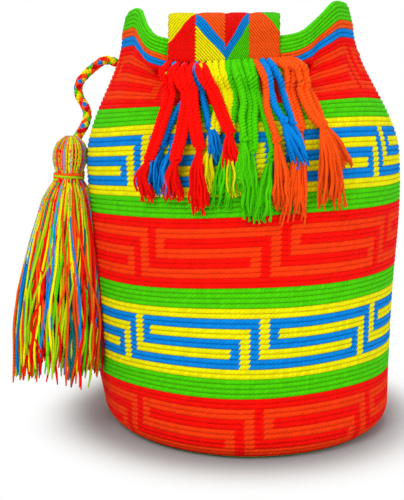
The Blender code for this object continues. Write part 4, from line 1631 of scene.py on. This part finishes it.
# Front cords, from the strap's left edge: name, yarn, layer, place on the strap, angles and rows passed
FRONT_STRANDS = (
    Strand("red_1", Yarn.RED, 1, -5.4,
           ((-23.0, 19.0), (-24.5, 25.8), (-27.0, 30.8), (-28.5, 32.8), (-30.5, 36.2), (-30.5, 40.5)), True),
    Strand("blue_1", Yarn.BLUE, 0, -5.3,
           ((-17.5, 18.0), (-20.0, 22.5), (-23.0, 26.5), (-25.0, 29.8), (-27.5, 33.5), (-29.0, 39.0))),
    Strand("red_2", Yarn.RED, 1, -4.6,
           ((-16.5, 19.0), (-17.5, 27.5), (-19.0, 31.2), (-19.5, 32.8), (-20.5, 35.5), (-21.0, 40.2)), True),
    Strand("red_4", Yarn.RED, 1, -3.8,
           ((-15.5, 15.8), (-14.5, 22.0), (-13.0, 27.8), (-12.0, 30.5), (-12.5, 35.5), (-12.5, 42.5)), True),
    Strand("blue_3", Yarn.BLUE, 0, -3.0,
           ((-13.5, 13.2), (-12.0, 19.5), (-10.0, 25.0), (-9.5, 26.5), (-8.0, 28.8), (-7.0, 33.0))),
    Strand("yellow_1", Yarn.YELLOW, 0, -2.0,
           ((-5.0, 19.5), (-6.5, 24.8), (-8.0, 28.2), (-9.0, 30.0), (-10.5, 33.8), (-11.0, 38.8)), True),
    Strand("yellow_2", Yarn.YELLOW, 0, -0.5,
           ((-3.0, 18.8), (-4.0, 24.2), (-3.0, 26.5), (-3.0, 28.0), (-2.5, 33.0), (-2.5, 39.5)), True),
    Strand("green_1", Yarn.GREEN, 0, 0.5,
           ((-0.5, 19.0), (-1.5, 25.0), (-2.5, 26.8), (-3.0, 28.5), (-5.0, 34.0), (-6.5, 41.5))),
    Strand("green_3", Yarn.GREEN, 0, 1.9,
           ((5.0, 20.2), (4.0, 25.8), (3.5, 30.0), (3.0, 31.5), (2.5, 36.8), (2.5, 44.0)), True),
    Strand("green_4", Yarn.GREEN, 0, 2.9,
           ((8.0, 22.8), (9.0, 28.2), (9.5, 31.0), (9.0, 32.8), (7.0, 37.8), (6.0, 44.5))),
    Strand("blue_5", Yarn.BLUE, 0, 4.8,
           ((16.5, 17.5), (16.5, 23.0), (17.0, 24.8), (17.0, 26.5), (16.5, 29.5), (16.5, 33.5))),
    Strand("orange_3", Yarn.ORANGE, 0, 5.4,
           ((20.0, 9.5), (19.0, 19.0), (19.0, 26.0), (19.0, 27.8), (17.0, 34.5), (16.0, 45.0)), True, 4.2),
    Strand("orange_5", Yarn.ORANGE, 0, 6.2,
           ((24.0, 8.0), (27.0, 19.8), (27.5, 27.0), (30.0, 31.2), (33.0, 35.5)), False, 3.8),
    Strand("blue_2", Yarn.BLUE, 0, -4.2,
           ((-16.5, 19.2), (-17.5, 25.0), (-20.0, 29.0), (-21.5, 30.8), (-23.0, 34.0), (-23.5, 39.2))),
    Strand("red_3", Yarn.RED, 1, -3.0,
           ((-11.5, 9.5), (-7.5, 18.5), (-5.0, 24.2), (-3.0, 27.8), (-3.0, 30.8), (-2.0, 35.0)), True),
    Strand("green_2", Yarn.GREEN, 1, 1.1,
           ((2.0, 20.2), (1.0, 24.8), (1.0, 27.2), (1.0, 29.0), (0.5, 33.2), (0.0, 39.0))),
    Strand("orange_1", Yarn.ORANGE, 1, 3.4,
           ((10.0, 17.2), (9.0, 23.0), (10.0, 27.5), (10.5, 29.5), (11.0, 35.2), (11.5, 42.5))),
    Strand("blue_4", Yarn.BLUE, 1, 4.1,
           ((11.5, 19.2), (11.5, 22.5), (12.0, 23.8), (13.5, 26.0), (15.0, 30.0), (18.0, 34.8))),
    Strand("orange_4", Yarn.ORANGE, 1, 5.8,
           ((23.0, 10.5), (22.5, 20.5), (23.5, 25.2), (25.5, 27.2), (26.0, 32.2), (28.0, 42.5)), True, 5.6),
)
REAR_YARNS = "orange orange blue green green yellow red yellow blue red red".split()
REAR_TIPS = (41, 43, 40, 44, 42, 44, 43, 41, 44, 42, 40)


@dataclass
class Studio:
    """A pale floor, plain soft lamps and the camera."""

    focal_px: float = 866.2
    frame_px: float = 500.0
    eye: tuple = (0.0, -0.6375, 0.2118)
    tilt: float = 8.18
    pan: float = 2.67
    ambient: float = 0.55
    # Each lamp's name, place, side in metres and power in watts
    lamps: tuple = (
        ("key", (-0.7, -1.5, 1.5), 1.0, 18.0),
        ("fill", (1.3, -1.3, 0.9), 1.2, 8.0),
        ("top", (0.0, 0.7, 1.8), 1.2, 14.0),
    )
    # The floor has a painted shadow: pale grey about the bag, fading into white between these distances from
    # its axis
    floor_shadow_grey: str = "AFBABC"
    floor_far: str = "F6F6F6"
    fade: tuple = (0.108, 0.165)
    floor_reach: float = 6.0
    floor_drop: float = 0.3 * MM

    def build(self) -> None:
        """Make the camera, the lamps, the world and the floor."""
        lens = bpy.data.cameras.new("camera")
        lens.sensor_width = 36.0
        lens.lens = 36.0 * self.focal_px / self.frame_px
        lens.clip_start = 0.01
        camera = bpy.data.objects.new("camera", lens)
        camera.location = self.eye
        camera.rotation_euler = (math.radians(90 - self.tilt), 0.0, math.radians(self.pan))
        bpy.context.collection.objects.link(camera)
        bpy.context.scene.camera = camera
        bpy.context.scene.view_settings.view_transform = "Standard"
        for name, place, size, power in self.lamps:
            self.lamp(name, place, size, power)
        self.world()
        self.floor()

    def lamp(self, name: str, place: tuple, size: float, power: float) -> None:
        """A square soft lamp turned to the bag.

        Args:
            name: The lamp's name.
            place: Where it stands.
            size: Its side in metres.
            power: Its power in watts.
        """
        data = bpy.data.lights.new(name, "AREA")
        data.size = size
        data.energy = power
        made = bpy.data.objects.new(name, data)
        made.location = place
        aim = np.array((0.0, 0.0, 0.15)) - np.array(place)
        flat = math.hypot(aim[0], aim[1])
        made.rotation_euler = (math.atan2(flat, -aim[2]), 0.0, math.atan2(-aim[0], aim[1]))
        bpy.context.collection.objects.link(made)

    def world(self) -> None:
        """Even pale light all round, seen as plain white."""
        world = bpy.data.worlds.new("studio")
        world.use_nodes = True
        tree = world.node_tree
        tree.nodes.clear()
        seen = add_node(tree, "ShaderNodeLightPath", output="Is Camera Ray")
        light = add_node(tree, "ShaderNodeBackground", (linear("FFFFFF"), self.ambient))
        white = add_node(tree, "ShaderNodeBackground", (linear("FFFFFF"), 1.0))
        mixed = add_node(tree, "ShaderNodeMixShader", (seen, light, white))
        add_node(tree, "ShaderNodeOutputWorld", (mixed,))
        bpy.context.scene.world = world

    def floor(self) -> None:
        """A wide pale floor, a hair below the bag, that takes its soft shadow, with a painted shadow of grey
        about the bag.
        """
        mesh = bpy.data.meshes.new("floor")
        reach, low = self.floor_reach, -self.floor_drop
        corners = [(-reach, -reach, low), (reach, -reach, low), (reach, reach, low), (-reach, reach, low)]
        mesh.from_pydata(corners, [], [(0, 1, 2, 3)])
        material = bpy.data.materials.new("pale_floor_painted_shadow")
        material.use_nodes = True
        tree = material.node_tree
        tree.nodes.clear()
        seen = add_node(tree, "ShaderNodeLightPath", output="Is Camera Ray")
        place = add_node(tree, "ShaderNodeTexCoord", output="Object")
        away = add_node(tree, "ShaderNodeVectorMath", (place,), "Value", operation="LENGTH")
        steps = (away, *self.fade, 0.0, 1.0)
        far = add_node(tree, "ShaderNodeMapRange", steps, interpolation_type="SMOOTHSTEP")
        # Painted shadow: the floor's colour is grey near the bag and pale far from it
        inputs = {0: far, 6: linear(self.floor_shadow_grey), 7: linear(self.floor_far)}
        colour = add_node(tree, MIX, inputs, 2, data_type="RGBA")
        matt = add_node(tree, "ShaderNodeBsdfDiffuse", (colour,))
        white = add_node(tree, "ShaderNodeEmission", (linear("FFFFFF"), 1.0))
        share = add_node(tree, MATH, (seen, far), operation="MULTIPLY")
        mixed = add_node(tree, "ShaderNodeMixShader", (share, matt, white))
        add_node(tree, "ShaderNodeOutputMaterial", (mixed,))
        mesh.materials.append(material)
        made = bpy.data.objects.new("floor", mesh)
        bpy.context.collection.objects.link(made)


@dataclass
class BucketBag:
    """The whole bag: builds its pieces and ties each to the frame."""

    shape: BagShape = field(default_factory=BagShape)

    def tie(self, piece: bpy.types.Object, node: str) -> bpy.types.Object:
        """Let a piece ride on the frame in place of a node, and report it.

        Args:
            piece: The new piece.
            node: The node it stands for.

        Returns:
            The same piece.
        """
        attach(piece, "root")
        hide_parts(node)
        LOG.info("%s stands for %s with %d faces", piece.name, node, len(piece.data.polygons))
        return piece

    def build(self) -> None:
        """Build every piece in order."""
        # Mercerised cotton in tight single crochet: strong matt colour, with fine dark lines between rows,
        # which are real grooves with painted shade in them
        body = CrochetBody(self.shape).build(CrochetFinish("crocheted_cotton").make())
        self.tie(body, "bag_body")
        # Spun cotton twisted in two plies: matt, with its grooves in the shape itself, painted shade on the
        # faces in them, and faint painted shade in the finish's fine plies
        spun = SpunFinish("spun_cotton_cord", relief=0.2 * MM, crevice=0.16).make()
        fringe = self.fringes(spun)
        strap = Strap(self.shape)
        # Cotton braided by hand in four columns: matt ribs of one colour each, that lean in turn, with
        # painted shade between the ribs
        band = strap.build(StrapFinish("braided_cotton_strap").make())
        self.tie(band, "shoulder_strap")
        self.hang_tassels()

    def fringes(self, material: bpy.types.Material) -> list[bpy.types.Object]:
        """Build the front and the rear fringe.

        Args:
            material: The spun yarn.

        Returns:
            The cords.
        """
        fringe, shape = Fringe(self.shape), self.shape
        made = []
        face = shape.on_wall(shape.strap_angle, shape.strap_end_row)
        across = float(face[0] - shape.middle(shape.strap_end_row))
        for strand in FRONT_STRANDS:
            start = math.degrees(math.atan2(across + strand.start * fringe.spacing, -face[1]))
            placed = replace(strand, start=start)
            cord = fringe.build(placed, True, material, "front")
            made.append(self.tie(cord, f"fringe_front_{strand.name}"))
        face = shape.on_wall(shape.rear_angle, shape.strap_end_row)
        across = float(face[0] - shape.middle(shape.strap_end_row))
        for number, (name, tip) in enumerate(zip(REAR_YARNS, REAR_TIPS)):
            place = number - (len(REAR_TIPS) - 1) / 2
            start = 180.0 + math.degrees(math.atan2(place * fringe.spacing - across, face[1]))
            end = shape.rear_angle + place * 4.6
            knot = 24 + number % 3
            rows = (13.0, 18.0, float(knot), (knot + tip) / 2, float(tip))
            turns = [start + (end - start) * ((row - 5.4) / (tip - 5.4)) ** 0.8 for row in rows]
            strand = Strand(f"{name}_{number + 1}", Yarn[name.upper()], 0, start, tuple(zip(turns, rows)))
            cord = fringe.build(strand, False, material, "rear")
            made.append(self.tie(cord, f"fringe_rear_{strand.name}"))
        return made

    def hang_tassels(self) -> None:
        """Thread the drawstring and hang a tassel on each of its ends."""
        shape, cord = self.shape, Drawstring(self.shape)
        # Cotton braided round: matt, with grooves where the yarns cross, and painted shade in the finish's
        # fine ply grooves
        braid = SpunFinish("braided_cotton_cord", relief=0.35 * MM).make()
        # Loose spun cotton, combed out: soft, matt and nearly smooth, with faint painted shade in its fine
        # plies
        loose = SpunFinish("tassel_cotton_yarn", relief=0.15 * MM, crevice=0.12).make()
        threaded = make_object("drawstring_braid", cord.braid.patch(cord.threaded()), braid)
        self.tie(threaded, "drawstring")
        front_top, rear_top, rear_foot = cord.beside(cord.front_top, cord.rear_top, cord.rear_foot)
        front_bends, front_foot = np.array(cord.front_bends) * MM, np.array(cord.front_foot) * MM
        rear_bends = cord.beside(*cord.rear_bends)
        ends = (
            ("front", shape.eyelets[0], front_bends, front_top, front_foot, 11),
            ("rear", shape.eyelets[-1], rear_bends, rear_top, rear_foot, 23),
        )
        for side, eyelet, bends, top, foot, seed in ends:
            line = cord.free_end(eyelet, bends, top, foot)
            rope = make_object(f"drawstring_braid_{side}", cord.braid.patch(line), braid)
            self.tie(rope, f"drawstring_end_{side}")
            tassel = Tassel(shape, f"tassel_{side}", top, foot, seed)
            yarn = self.tie(tassel.build(loose), f"tassel_{side}")
            wrap = self.tie(tassel.binding(loose), f"tassel_{side}_binding")


def main() -> None:
    """Build the bag and its studio."""
    logging.basicConfig(level=logging.INFO, format="%(message)s")
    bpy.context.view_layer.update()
    BucketBag().build()
    Studio().build()


if __name__ == "__main__":
    main()
